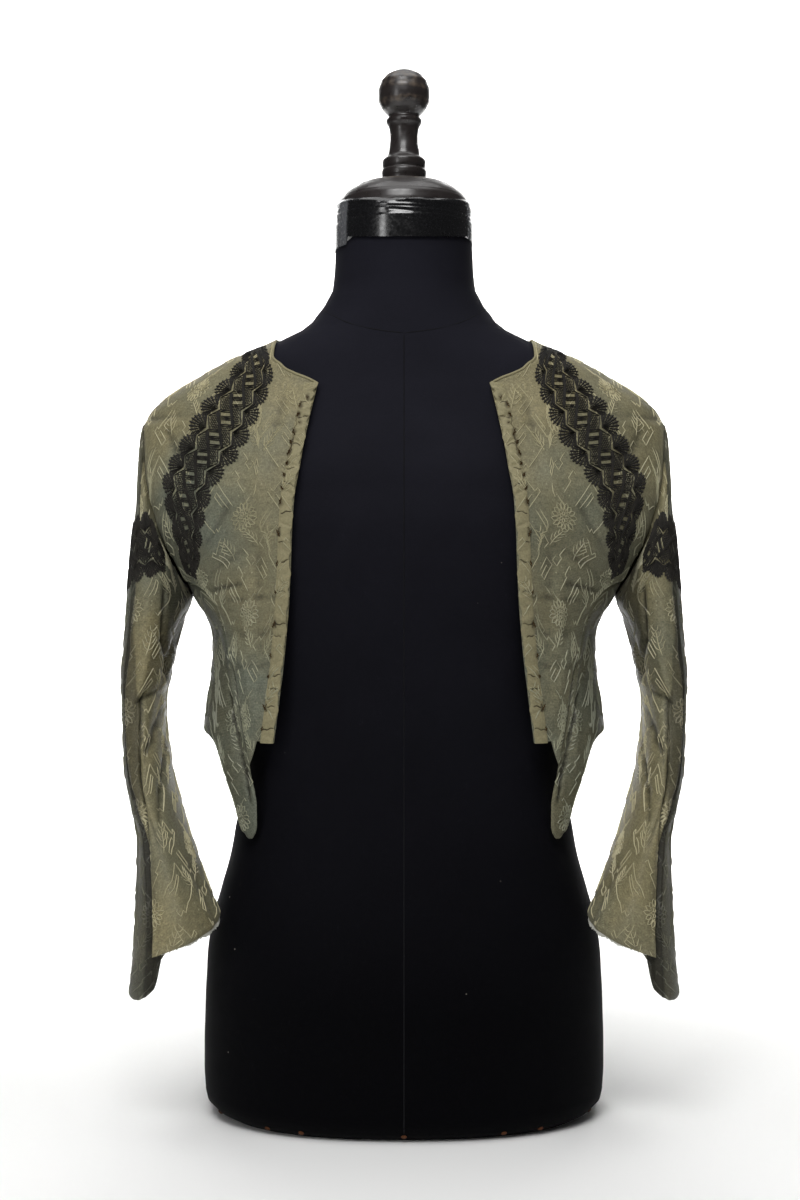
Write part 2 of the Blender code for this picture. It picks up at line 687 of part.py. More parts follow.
# Back, drawn for one half and turned over at the middle
neck_turns = np.linspace(0.0, -math.pi / 2, NECK_COLUMNS + 1)
neck_heights = NECK_POINT + BACK_NECK_RISE * np.sin(-neck_turns)
back_neck = body_plain(neck_turns, neck_heights)[:, (0, 2)]
half_columns = SHOULDER_COLUMNS + NECK_COLUMNS
hem_share = even(half_columns)
back_hem = np.column_stack(
    [back_seam[0, 0] * (1 - hem_share), back_seam[0, 1] - BACK_HEM_DIP * hem_share**2]
)
back_top = np.vstack([shoulder[::-1][:-1], back_neck])
back_side = np.vstack([back_seam[:-1], back_hole])
back_rows = (back_side[:, 1] - back_side[0, 1]) / np.ptp(back_side[:, 1])
over = (-1, 1)
back_grid = patch(
    np.vstack([back_hem, (back_hem * over)[::-1][1:]]),
    np.vstack([back_top, (back_top * over)[::-1][1:]]),
    back_side,
    back_side * over,
    back_rows,
)
back_points, back_out = body_surface(
    turn_of(back_grid[..., 0], back_grid[..., 1], back=True), back_grid[..., 1]
)
cloth("back", back_points, back_out, SILK, 1)

# Sleeves in two halves, each line running from the armhole to its own cuff height
sleeve_turns = {
    "sleeve_front": np.concatenate(
        [front_turns[front_turns >= SLEEVE_FRONT_SEAM], under_turns[1:]]
    ),
    "sleeve_back": np.concatenate(
        [back_turns, 360 + front_turns[1:][front_turns[1:] <= SLEEVE_FRONT_SEAM]]
    ),
}
sleeve_grids = {}
for half, turns in sleeve_turns.items():
    ends = section_at(turns, np.interp(turns, CUFF["turn"], CUFF["height"]))
    sections = even(SLEEVE_ROWS)[None] * ends[:, None]
    if half == "sleeve_back":
        tips = section_at(turns, smooth(turns, TONGUE["turn"], TONGUE["height"]))
        below = ends[:, None] + even(TONGUE_ROWS)[None, 1:] * (tips - ends)[:, None]
        sections = np.hstack([sections, below])
    degrees = np.repeat(turns[:, None], sections.shape[1], axis=1)
    sleeve_grids[half] = sleeve_surface(sections, degrees)

# Placket strip on the front edge, from the hem to the neck
edge_rows = spaced(FRONT_EDGE, front_rows)
strip_grid = np.stack(
    [
        np.column_stack([edge_rows[:, 0] + PLACKET_WIDTH * share, edge_rows[:, 1]])
        for share in PLACKET_SHARES
    ]
)
strip_points, strip_out = body_surface(
    turn_of(strip_grid[..., 0], strip_grid[..., 1]), strip_grid[..., 1]
)


def lace_grid(repeats):
    """Places along and across a lace band, with the cells that are filled."""
    along = np.array([r + c for r in range(repeats) for c in LACE_COLUMNS] + [repeats]) / repeats
    u, v = np.meshgrid(along, np.array(LACE_ROWS), indexing="ij")
    u[1:-1] += np.array(LACE_LEANS) / repeats
    shifts = np.array([*LACE_SHIFTS * repeats, LACE_SHIFTS[0]])
    v[:, LACE_WINDOW : LACE_WINDOW + 2] += shifts[:, None]
    wave = np.abs(np.sin(np.pi * along * repeats))
    filled = np.ones((len(along) - 1, len(LACE_ROWS) - 1), bool)
    return u, v, wave, filled


def open_cells(points, filled):
    """Cut the two openings of each repeat where they are wide enough."""
    j = LACE_WINDOW
    for i in range(1, filled.shape[0] - 1):
        tall = np.linalg.norm(points[i, j + 1] - points[i, j])
        long = np.linalg.norm(points[i + 1, j] - points[i, j])
        if i % len(LACE_COLUMNS) in LACE_OPEN and min(tall, long) > LACE_GAP:
            filled[i, j] = False
    return filled


def laid_on(name, points, out, thickness, material, side, lift, filled=None):
    """Strip lying on a panel."""
    wall(name, points + out * (lift + thickness), points + out * lift, material, side, filled)


# Lace band at the shoulder
u, v, wave, shoulder_filled = lace_grid(SHOULDER_REPEATS)
outer_edge = np.column_stack([LACE_OUTER["x"], LACE_OUTER["height"]])
inner_edge = np.column_stack([LACE_INNER["x"], LACE_INNER["height"]])
outer_rows = np.linspace(0.0, 1.0, len(outer_edge))
start = np.stack([smooth(u, outer_rows, outer_edge[:, k]) for k in (0, 1)], axis=-1)
end = np.stack([smooth(u, outer_rows, inner_edge[:, k]) for k in (0, 1)], axis=-1)
across = np.linalg.norm(end - start, axis=-1)
reach = np.minimum(SCALLOP, SCALLOP_SHARE * across) / across * wave[:, None]
band = start + (end - start) * ((1 + 2 * reach) * v - reach)[..., None]
band_turn = np.maximum(turn_of(band[..., 0], band[..., 1]), RIDGE_CLEAR)
shoulder_lace, shoulder_lace_out = body_surface(band_turn, band[..., 1])
shoulder_filled = open_cells(shoulder_lace, shoulder_filled)
shoulder_lift = (LIFT + SHOULDER_LIFT * np.clip(1 - u / SHOULDER_BEND, 0.0, 1.0))[..., None]

# Lace band round the upper sleeve
u, v, wave, ring_filled = lace_grid(SLEEVE_REPEATS)
ring_turn = LACE_RING["turn"][0] + (LACE_RING["turn"][-1] - LACE_RING["turn"][0]) * u
ring_middle = smooth(ring_turn, LACE_RING["turn"], LACE_RING["height"])
ring_half = smooth(ring_turn, LACE_RING["turn"], LACE_RING["half_width"])
ring_reach = ring_half + SCALLOP * wave[:, None]
hole_height = armhole_turns(np.ravel(ring_turn))[:, 1].reshape(ring_turn.shape)
ring_top = np.minimum(ring_middle + ring_reach, hole_height - LACE_CLEAR)
ring_section = section_at(ring_turn, ring_top + (ring_middle - ring_reach - ring_top) * v)
ring_lace, ring_lace_out = sleeve_surface(ring_section, ring_turn)
ring_filled = open_cells(ring_lace, ring_filled)
ring_lift = (LIFT + RING_LIFT * np.clip(ring_turn / LACE_RING["turn"][-1], 0.0, 1.0))[..., None]

for side, word in ((1, "left"), (-1, "right")):
    cloth(f"front_{word}", front_points, front_out, SILK, side)
    cloth(f"side_{word}", side_points, side_out, SILK, side)
    for half, (points, out) in sleeve_grids.items():
        cloth(f"{half}_{word}", points, out, SILK, side)
    laid_on(f"placket_{word}", strip_points, strip_out, STRIP, SILK_STRIP, side, LIFT)
    lace_wall = (shoulder_lace, shoulder_lace_out, LACE, BLACK_LACE, side, shoulder_lift)
    laid_on(f"lace_shoulder_{word}", *lace_wall, shoulder_filled)
    lace_wall = (ring_lace, ring_lace_out, LACE, BLACK_LACE, side, ring_lift)
    laid_on(f"lace_sleeve_{word}", *lace_wall, ring_filled)


# Neck binding: a round piping beyond the neck edge of the fronts and the back
def beyond(points, out, within):
    """Line just outside an edge, on the surface."""
    way = unit(np.gradient(points, axis=0))
    aside = unit(np.cross(out, way))
    away = np.sign(np.sum(aside * (points - within), axis=-1, keepdims=True))
    return points + away * aside * (SEAM + PIPING_RADIUS) + out * SEAM


neck_front = beyond(
    front_points[: NECK_COLUMNS + 1, -1],
    front_out[: NECK_COLUMNS + 1, -1],
    front_points[: NECK_COLUMNS + 1, -2],
)
middle = half_columns
neck_back = beyond(
    back_points[SHOULDER_COLUMNS : middle + 1, -1],
    back_out[SHOULDER_COLUMNS : middle + 1, -1],
    back_points[SHOULDER_COLUMNS : middle + 1, -2],
)
half_path = np.vstack([neck_front[:-1], (neck_front[-1:] + neck_back[:1]) / 2, neck_back[1:]])
path = np.vstack([half_path, (half_path * (-1, 1, 1))[::-1][1:]])
curve = bpy.data.curves.new("neck_binding", "CURVE")
curve.dimensions = "3D"
curve.bevel_depth = PIPING_RADIUS
curve.bevel_resolution = 1
curve.use_fill_caps = True
line = curve.splines.new("POLY")
line.points.add(len(path) - 1)
for point, place in zip(line.points, path):
    point.co = (*place, 1.0)
curve.materials.append(SILK_STRIP)
parts.objects.link(bpy.data.objects.new("neck_binding", curve))

# Dress form: a loft through its levels, closed flat at the base and at the top of the neck
levels = np.sort(np.concatenate([FORM["height"], FORM_BETWEEN]))
turns = np.linspace(0.0, 2 * math.pi, FORM_TURNS, endpoint=False)
rings = oval(FORM, turns[None] + 0 * levels[:, None], levels[:, None] + 0 * turns[None])
top_start = (len(levels) - 1) * FORM_TURNS
faces = [list(range(FORM_TURNS)), list(range(top_start, top_start + FORM_TURNS))[::-1]]
for row in range(len(levels) - 1):
    for k in range(FORM_TURNS):
        after = (k + 1) % FORM_TURNS
        base = row * FORM_TURNS
        faces.append([base + after, base + k, base + FORM_TURNS + k, base + FORM_TURNS + after])
add("form_torso", rings.reshape(-1, 3), faces, BLACK_CLOTH)


# Turned pieces above the neck, each a profile swept round the upright axis
def turned(name, profile, foot, facets, material):
    mesh = bpy.data.meshes.new(name)
    points = [(radius, 0.0, foot + height) for radius, height in profile]
    mesh.from_pydata(points, [(k, k + 1) for k in range(len(points) - 1)], [])
    mesh.materials.append(material)
    thing = bpy.data.objects.new(name, mesh)
    sweep = thing.modifiers.new("turning", "SCREW")
    sweep.axis = "Z"
    sweep.angle = 2 * math.pi
    sweep.steps = facets
    sweep.render_steps = facets
    sweep.use_merge_vertices = True
    sweep.merge_threshold = 0.00005
    sweep.use_normal_calculate = True
    parts.objects.link(thing)


turned("form_neck_band", BAND_PROFILE, NECK_TOP + SEAM, CAP_TURNS, BLACK_TAPE)
turned("form_neck_cap", CAP_PROFILE, BAND_TOP + SEAM, CAP_TURNS, BLACK_WOOD)
turned("form_finial", FINIAL_PROFILE, CAP_TOP + SEAM, WOOD_TURNS, BLACK_WOOD)
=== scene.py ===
import math

import bmesh
import bpy
import numpy as np
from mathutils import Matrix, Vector
from mathutils.bvhtree import BVHTree
from mathutils.geometry import barycentric_transform


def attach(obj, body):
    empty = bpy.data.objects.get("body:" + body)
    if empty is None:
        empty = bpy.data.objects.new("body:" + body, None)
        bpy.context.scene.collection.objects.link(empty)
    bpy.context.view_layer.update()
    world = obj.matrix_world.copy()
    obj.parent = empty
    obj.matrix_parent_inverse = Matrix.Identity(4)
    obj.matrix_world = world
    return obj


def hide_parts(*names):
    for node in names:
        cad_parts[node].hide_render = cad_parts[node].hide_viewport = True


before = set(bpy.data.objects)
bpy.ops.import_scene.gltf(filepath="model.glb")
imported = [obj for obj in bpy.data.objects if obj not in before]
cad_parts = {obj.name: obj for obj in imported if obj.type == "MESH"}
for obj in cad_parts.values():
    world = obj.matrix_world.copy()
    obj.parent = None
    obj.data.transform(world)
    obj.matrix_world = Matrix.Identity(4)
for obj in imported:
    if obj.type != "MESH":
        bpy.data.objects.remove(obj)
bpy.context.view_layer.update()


# Dress form: a pulp shell shaped as a torso with no limbs, covered in black cotton
# that is stretched tight over it and glued under the base.
def table(names, *rows):
    """Named columns from rows of numbers."""
    return dict(zip(names.split(), np.array(rows, float).T))


NECK_TOP = 0.7385
FORM = table(
    "height half_width front back square_front square_back",
    (0.0000, 0.1480, 0.0980, 0.1000, 2.3, 2.3),
    (0.0060, 0.1590, 0.1080, 0.1100, 2.3, 2.3),
    (0.0220, 0.1675, 0.1155, 0.1175, 2.3, 2.3),
    (0.0500, 0.1685, 0.1165, 0.1190, 2.3, 2.3),
    (0.0860, 0.1678, 0.1170, 0.1195, 2.3, 2.3),
    (0.1200, 0.1665, 0.1160, 0.1190, 2.3, 2.3),
    (0.1495, 0.1640, 0.1135, 0.1165, 2.3, 2.3),
    (0.1835, 0.1556, 0.1080, 0.1090, 2.3, 2.3),
    (0.2360, 0.1430, 0.1000, 0.0960, 2.3, 2.3),
    (0.2900, 0.1370, 0.0955, 0.0870, 2.3, 2.3),
    (0.3300, 0.1370, 0.0985, 0.0860, 2.3, 2.3),
    (0.3870, 0.1405, 0.1085, 0.0920, 2.3, 2.3),
    (0.4400, 0.1480, 0.1180, 0.1000, 2.4, 2.3),
    (0.4750, 0.1575, 0.1200, 0.1040, 2.4, 2.3),
    (0.5200, 0.1740, 0.1110, 0.1055, 2.3, 2.3),
    (0.5550, 0.1870, 0.0965, 0.1015, 2.2, 2.2),
    (0.5800, 0.1930, 0.0830, 0.0950, 2.2, 2.2),
    (0.5950, 0.1950, 0.0765, 0.0900, 2.1, 2.1),
    (0.6026, 0.1935, 0.0735, 0.0865, 2.1, 2.1),
    (0.6121, 0.1795, 0.0700, 0.0820, 2.1, 2.1),
    (0.6231, 0.1610, 0.0670, 0.0770, 2.1, 2.1),
    (0.6326, 0.1425, 0.0650, 0.0730, 2.1, 2.1),
    (0.6396, 0.1245, 0.0635, 0.0700, 2.1, 2.1),
    (0.6506, 0.1015, 0.0615, 0.0660, 2.1, 2.1),
    (0.6570, 0.0880, 0.0605, 0.0640, 2.1, 2.1),
    (0.6720, 0.0730, 0.0590, 0.0610, 2.0, 2.0),
    (0.6830, 0.0655, 0.0580, 0.0595, 2.0, 2.0),
    (0.6970, 0.0600, 0.0570, 0.0580, 2.0, 2.0),
    (0.7240, 0.0582, 0.0565, 0.0570, 2.0, 2.0),
    (NECK_TOP, 0.0575, 0.0565, 0.0565, 2.0, 2.0),
)
FORM_AROUND = 112
FORM_LEVELS = 110
SHARP_EDGE = math.radians(50)


def smooth(at, knots, values):
    """Curve through a table's points that doesn't overshoot them."""
    steps = np.diff(knots)
    rises = np.diff(values) / steps
    slopes = np.concatenate([rises[:1], np.zeros(len(rises) - 1), rises[-1:]])
    same = np.flatnonzero(rises[:-1] * rises[1:] > 0)
    slopes[same + 1] = 2 * rises[same] * rises[same + 1] / (rises[same] + rises[same + 1])
    at = np.clip(at, knots[0], knots[-1])
    row = np.clip(np.searchsorted(knots, at) - 1, 0, len(steps) - 1)
    part = (at - knots[row]) / steps[row]
    low = values[row] + part * steps[row] * slopes[row]
    high = values[row + 1] - (1 - part) * steps[row] * slopes[row + 1]
    ease = part * part * (3 - 2 * part)
    return low * (1 - ease) + high * ease


def unit(vectors):
    """The same directions with length one."""
    return vectors / np.maximum(np.linalg.norm(vectors, axis=-1, keepdims=True), 1e-12)


def even(count):
    """Shares of a line cut into equal steps."""
    return np.linspace(0.0, 1.0, count + 1)


def oval(levels, turn, height):
    """Point of a level's rounded oval; turn 0 is the side, a quarter turn the front, below 0 the back."""
    half = smooth(height, levels["height"], levels["half_width"])
    ahead = np.sin(turn) >= 0
    depth, square = (
        np.where(
            ahead,
            smooth(height, levels["height"], levels[front]),
            smooth(height, levels["height"], levels[back]),
        )
        for front, back in (("front", "back"), ("square_front", "square_back"))
    )
    across = np.sign(np.cos(turn)) * np.abs(np.cos(turn)) ** (2 / square)
    along = np.sign(np.sin(turn)) * np.abs(np.sin(turn)) ** (2 / square)
    return np.stack([half * across, -depth * along, height + 0 * turn], axis=-1)


def linear(code):
    """Linear colour of an sRGB hex code."""
    parts = [int(code[k : k + 2], 16) / 255 for k in (1, 3, 5)]
    return (*(p / 12.92 if p < 0.04045 else ((p + 0.055) / 1.055) ** 2.4 for p in parts), 1.0)


def node(tree, kind, inputs=(), **settings):
    """Add a node with its settings; each input is a value or another node's output."""
    made = tree.nodes.new(kind)
    for name, value in settings.items():
        setattr(made, name, value)
    for name, value in dict(inputs).items():
        if isinstance(value, bpy.types.NodeSocket):
            tree.links.new(value, made.inputs[name])
        else:
            made.inputs[name].default_value = value
    return made


def start_material(name, **inputs):
    """A material with the inputs that are the same all over its surface."""
    material = bpy.data.materials.new(name)
    material.use_nodes = True
    shader = material.node_tree.nodes["Principled BSDF"]
    for socket, value in inputs.items():
        shader.inputs[socket.replace("_", " ")].default_value = value
    return material, material.node_tree, shader


def wire(tree, shader, **sources):
    """Link what varies over the surface to the shader's inputs."""
    for socket, source in sources.items():
        tree.links.new(source, shader.inputs[socket.replace("_", " ")])


def add_piece(name, points, faces, materials, slots=None, cut=None, marks=None):
    """One object that rides on the stand, faces turned out, with its places on the cut and its marks."""
    mesh = bpy.data.meshes.new(name)
    mesh.from_pydata(np.asarray(points).tolist(), [], [list(face) for face in faces])
    shape = bmesh.new()
    shape.from_mesh(mesh)
    bmesh.ops.recalc_face_normals(shape, faces=shape.faces)
    shape.to_mesh(mesh)
    shape.free()
    for material in materials:
        mesh.materials.append(material)
    if slots is not None:
        mesh.polygons.foreach_set("material_index", np.asarray(slots, np.int32))
    if cut is not None:
        corner = np.zeros(len(mesh.loops), np.int32)
        mesh.loops.foreach_get("vertex_index", corner)
        layer = mesh.uv_layers.new(name="cut")
        layer.data.foreach_set("uv", np.asarray(cut, np.float32)[corner].ravel())
    for mark, amounts in (marks or {}).items():
        layer = mesh.attributes.new(mark, "FLOAT", "POINT")
        layer.data.foreach_set("value", np.asarray(amounts, np.float32))
    mesh.shade_smooth()
    mesh.set_sharp_from_angle(angle=SHARP_EDGE)
    thing = bpy.data.objects.new(name, mesh)
    bpy.context.scene.collection.objects.link(thing)
    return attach(thing, "root")


def closed_loft(rings):
    """Faces round a stack of closed rings with flat ends."""
    levels, around = rings.shape[:2]
    number = np.arange(levels * around).reshape(levels, around)
    after = np.roll(number, -1, axis=1)
    sides = np.stack([number[:-1], after[:-1], after[1:], number[1:]], axis=-1).reshape(-1, 4)
    return [*sides.tolist(), number[0].tolist(), number[-1][::-1].tolist()]


# Black cotton, woven and stretched: nearly matte, with lint caught in the threads, and painted
# lighter from the chest up and near black below as light and shade from the lamp above. The
# threads are drawn at 1.4 mm, coarser than the real cloth's, so that they show.
COTTON_THREAD_MM = 1.4
WEAR_MM = 111.1
LINT_SPACING_MM = 22.0
SHADED_BELOW = 0.10
LIT_FROM = 0.68
form_cotton, tree, shader = start_material(
    "black cotton, woven and stretched",
    Roughness=0.8,
    Sheen_Weight=0.02,
    Sheen_Roughness=0.4,
    Specular_IOR_Level=0.04,
)
place = node(tree, "ShaderNodeTexCoord").outputs["Object"]
worn = node(
    tree, "ShaderNodeTexNoise", {"Vector": place, "Scale": 1000 / WEAR_MM, "Detail": 3.0}
).outputs["Fac"]
dyed = node(
    tree, "ShaderNodeMix", {0: worn, 6: linear("#141419"), 7: linear("#22222a")}, data_type="RGBA"
).outputs[2]
# Painted light and shade: the cover is drawn lighter from the chest up and near black below.
height = node(tree, "ShaderNodeSeparateXYZ", {"Vector": place})
upper = node(
    tree,
    "ShaderNodeMapRange",
    {"Value": height.outputs["Z"], "From Min": SHADED_BELOW, "From Max": LIT_FROM},
).outputs["Result"]
top_lit = node(
    tree, "ShaderNodeMix", {0: upper, 6: linear("#040406"), 7: dyed}, data_type="RGBA"
).outputs[2]
lint = node(tree, "ShaderNodeTexVoronoi", {"Vector": place, "Scale": 1000 / LINT_SPACING_MM})
speck = node(
    tree, "ShaderNodeMapRange", {"Value": lint.outputs["Distance"], "From Min": 0.040, "From Max": 0.022}
).outputs["Result"]
kept = node(
    tree, "ShaderNodeMapRange", {"Value": lint.outputs["Color"], "From Min": 0.66, "From Max": 0.70}
).outputs["Result"]
dust = node(tree, "ShaderNodeMath", {0: speck, 1: kept}, operation="MULTIPLY", use_clamp=True).outputs[0]
dusted = node(
    tree, "ShaderNodeMix", {0: dust, 6: top_lit, 7: linear("#77736c")}, data_type="RGBA"
).outputs[2]
threads = node(
    tree, "ShaderNodeTexNoise", {"Vector": place, "Scale": 1000 / COTTON_THREAD_MM, "Detail": 2.0}
).outputs["Fac"]
threaded = node(
    tree, "ShaderNodeBump", {"Height": threads, "Strength": 0.25, "Distance": 0.0004}
).outputs["Normal"]
wire(tree, shader, Base_Color=dusted, Normal=threaded)

turns = np.linspace(0.0, 2 * math.pi, FORM_AROUND, endpoint=False)
levels = np.unique(np.concatenate([FORM["height"], even(FORM_LEVELS) * NECK_TOP]))
rings = oval(FORM, turns[None] + 0 * levels[:, None], levels[:, None] + 0 * turns[None])
torso = add_piece("form_cover", rings.reshape(-1, 3), closed_loft(rings), [form_cotton])
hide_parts("form_torso")


# Seams of the cover: sewn ridges down the middle of the front and back, along both
# sides and round the foot of the neck, in black thread.
RIDGE_WIDTH = 0.0013
RIDGE_HEIGHT = 0.0003
RIDGE_STEPS = 160
RIDGE_FOOT = 0.012  # share of the height where the upright seams come out from under the base
THIN_END = 0.35
UPRIGHT_SEAMS = ((90, 0.648), (-90, 0.690), (0, 0.680), (180, 0.680))  # turn and upper end
NECK_SEAM_STEPS = 80
NECK_SEAM = table(
    "turn height",
    (-90, 0.6900),
    (-45, 0.6890),
    (0, 0.6800),
    (40, 0.6660),
    (75, 0.6520),
    (90, 0.6480),
)


def ribbon(line, out, width, height):
    """Raised thread along a line on a surface: a closed strip of three sides with thin ends."""
    aside = unit(np.cross(out, np.gradient(line, axis=0)))
    full = np.ones(len(line))
    full[[0, -1]] = THIN_END
    low = line - out * height / 2
    half = aside * (full * width / 2)[:, None]
    ring = np.stack([low - half, line + out * (full * height)[:, None], low + half], axis=1)
    first = 3 * np.arange(len(line) - 1)
    faces = [
        (start + k, start + (k + 1) % 3, start + 3 + (k + 1) % 3, start + 3 + k)
        for start in first.tolist()
        for k in range(3)
    ]
    last = 3 * (len(line) - 1)
    return ring.reshape(-1, 3), [*faces, (0, 1, 2), (last + 2, last + 1, last)]


def gathered(strips):
    """Points and faces of many strips as one mesh."""
    points, faces, start = [], [], 0
    for strip, sides in strips:
        points.append(strip)
        faces += [tuple(corner + start for corner in side) for side in sides]
        start += len(strip)
    return np.concatenate(points), faces


def normal_of(surface, first, second, step_first=0.004, step_second=0.0006):
    """Outward direction of a surface with two coordinates."""
    one = surface(first + step_first, second) - surface(first - step_first, second)
    two = surface(first, second + step_second) - surface(first, second - step_second)
    return -unit(np.cross(one, two))


def form_plain(turn, height):
    """Point of the form's cover."""
    return oval(FORM, turn, height)


ridge_lines = []
upright = np.linspace(RIDGE_FOOT, 1.0, RIDGE_STEPS)
for turn, top in UPRIGHT_SEAMS:
    ridge_lines.append((np.full(RIDGE_STEPS, math.radians(turn)), upright * top))
round_neck = np.linspace(-90, 90, NECK_SEAM_STEPS)
neck_height = smooth(round_neck, NECK_SEAM["turn"], NECK_SEAM["height"])
ridge_lines.append((np.radians(round_neck), neck_height))
ridge_lines.append((np.pi - np.radians(round_neck), neck_height))
strips = []
for turn, height in ridge_lines:
    strips.append(
        ribbon(form_plain(turn, height), normal_of(form_plain, turn, height), RIDGE_WIDTH, RIDGE_HEIGHT)
    )
seam_thread, *_ = start_material(
    "black cotton thread, spun", Roughness=0.8, Base_Color=linear("#0e0e11"), Specular_IOR_Level=0.15
)
seams = add_piece("form_seams", *gathered(strips), [seam_thread])


# Tape at the top of the neck: black glossy tape wound three times round, which holds the
# cover down. Its turns overlap, its lower edge hangs uneven and small wrinkles run across it.
BAND_TOP = 0.7710
TAPE_RADIUS = 0.0577
TAPE_AROUND = 220
TAPE_ROWS = 44
TAPE_STEP = 0.00045
SHOULDER_FROM = 0.7600  # from here up the tape follows the cap's rounded shoulder
SHOULDER_RISE = 0.0080
SHOULDER_IN = 0.0018
TAPE_HANG = 0.0110  # how far the lower edge hangs down in front
PATCH_HANG = (0.0130, 0.0065)  # and at the grey patch of each side
PATCH_FROM = (0.80, 0.90)
PATCH_FADE = 0.02
TOP_LOWER = 0.0030
TOP_DIP = 0.0075
TOP_WAVE = 0.0006
TURN_SOFT = 0.0006
RIM_RISE = 0.0030
RIM_IN = 0.0016
# Upper edges of the overlapping turns: height at the middle, tilt and where they are highest
TAPE_TURNS = table(
    "height tilt peak", (0.7465, 0.0012, 40), (0.7530, 0.0018, 200), (0.7595, 0.0010, 310)
)
# Wrinkles by turn in degrees and height: two ends, depth and half width
TAPE_WRINKLES = table(
    "turn_top z_top turn_low z_low depth spread",
    (62, 0.7615, 96, 0.7580, -0.0011, 0.0011),
    (96, 0.7590, 112, 0.7600, 0.0012, 0.0016),
    (108, 0.7575, 150, 0.7620, -0.0008, 0.0010),
    (70, 0.7535, 118, 0.7555, -0.0005, 0.0009),
    (84, 0.7490, 104, 0.7510, 0.0006, 0.0012),
    (122, 0.7460, 141, 0.7490, 0.0006, 0.0013),
    (20, 0.7600, 48, 0.7560, 0.0005, 0.0012),
    (165, 0.7640, 196, 0.7600, -0.0007, 0.0011),
    (214, 0.7480, 250, 0.7520, 0.0006, 0.0012),
    (244, 0.7660, 292, 0.7690, -0.0009, 0.0011),
    (300, 0.7540, 338, 0.7500, 0.0006, 0.0013),
)


def sinking(points, ends, creases):
    """How far each point sinks into the creases, which fade out at both ends."""
    sink = np.zeros(points.shape[:-1])
    for (start, end), depth, spread in zip(ends, creases["depth"], creases["spread"]):
        way = end - start
        share = np.clip(np.sum((points - start) * way, axis=-1) / np.dot(way, way), 0.0, 1.0)
        off = np.linalg.norm(points - start - share[..., None] * way, axis=-1) / spread
        sink += depth * np.exp(-off * off) * np.sqrt(4 * share * (1 - share))
    return sink


# Black plastic tape: smooth and glossy, finely scratched, bleached grey in a patch at each side.
SCRATCH_MM = 2.5
black_tape, tree, shader = start_material(
    "black plastic tape, wound", Coat_Weight=0.5, Coat_Roughness=0.12
)
place = node(tree, "ShaderNodeTexCoord").outputs["Object"]
rubbed = node(
    tree, "ShaderNodeTexNoise", {"Vector": place, "Scale": 1000 / SCRATCH_MM, "Detail": 4.0}
).outputs["Fac"]
dulled = node(
    tree,
    "ShaderNodeMapRange",
    {"Value": rubbed, "From Min": 0.3, "From Max": 0.7, "To Min": 0.14, "To Max": 0.34},
).outputs["Result"]
scratched = node(
    tree, "ShaderNodeBump", {"Height": rubbed, "Strength": 0.15, "Distance": 0.0003}
).outputs["Normal"]
grey = node(tree, "ShaderNodeAttribute", attribute_name="grey").outputs["Fac"]
bleached = node(
    tree, "ShaderNodeMix", {0: grey, 6: linear("#0b0b0d"), 7: linear("#5c5d60")}, data_type="RGBA"
).outputs[2]
wire(tree, shader, Base_Color=bleached, Roughness=dulled, Normal=scratched)

tape_turn = np.linspace(0.0, 360.0, TAPE_AROUND, endpoint=False)
hang = np.cos(np.radians(tape_turn))
in_front = np.clip(np.sin(np.radians(tape_turn)), 0.0, 1.0)
tape_low = NECK_TOP - TAPE_HANG * in_front
tape_low = np.where(hang > PATCH_FROM[1], NECK_TOP - PATCH_HANG[1], tape_low)
tape_low = np.where(hang < -PATCH_FROM[0], NECK_TOP - PATCH_HANG[0], tape_low)
tape_wave = TOP_WAVE * np.sin(np.radians(3 * tape_turn + 40))
tape_top = BAND_TOP - TOP_LOWER - TOP_DIP * in_front + tape_wave
tape_height = tape_low + even(TAPE_ROWS)[:, None] * (tape_top - tape_low)
tape_angle = tape_turn + 0 * tape_height
tape_reach = np.full(tape_height.shape, TAPE_RADIUS + TAPE_STEP * len(TAPE_TURNS["tilt"]))
for height, tilt, peak in zip(*TAPE_TURNS.values()):
    edge = height + tilt * np.cos(np.radians(tape_turn - peak))
    tape_reach -= TAPE_STEP * np.clip((tape_height - edge) / TURN_SOFT + 0.5, 0.0, 1.0)
flat_place = np.stack([np.radians(tape_angle) * TAPE_RADIUS, tape_height], axis=-1)
wrinkle_ends = np.array(
    [
        [np.radians(TAPE_WRINKLES["turn_top"]) * TAPE_RADIUS, TAPE_WRINKLES["z_top"]],
        [np.radians(TAPE_WRINKLES["turn_low"]) * TAPE_RADIUS, TAPE_WRINKLES["z_low"]],
    ]
).transpose(2, 0, 1)
tape_reach -= sinking(flat_place, wrinkle_ends, TAPE_WRINKLES)
tape_reach -= SHOULDER_IN * np.clip((tape_height - SHOULDER_FROM) / SHOULDER_RISE, 0.0, 1.0) ** 2
tape_reach -= RIM_IN * np.clip((tape_height - tape_top + RIM_RISE) / RIM_RISE, 0.0, 1.0) ** 2
tape_rings = np.stack(
    [
        tape_reach * np.cos(np.radians(tape_angle)),
        -tape_reach * np.sin(np.radians(tape_angle)),
        tape_height,
    ],
    axis=-1,
)
patches = np.clip(np.maximum(-hang - PATCH_FROM[0], hang - PATCH_FROM[1]) / PATCH_FADE, 0.0, 1.0)
tape = add_piece(
    "neck_tape",
    tape_rings.reshape(-1, 3),
    closed_loft(tape_rings),
    [black_tape],
    marks={"grey": np.tile(patches, TAPE_ROWS + 1)},
)
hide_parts("form_neck_band")

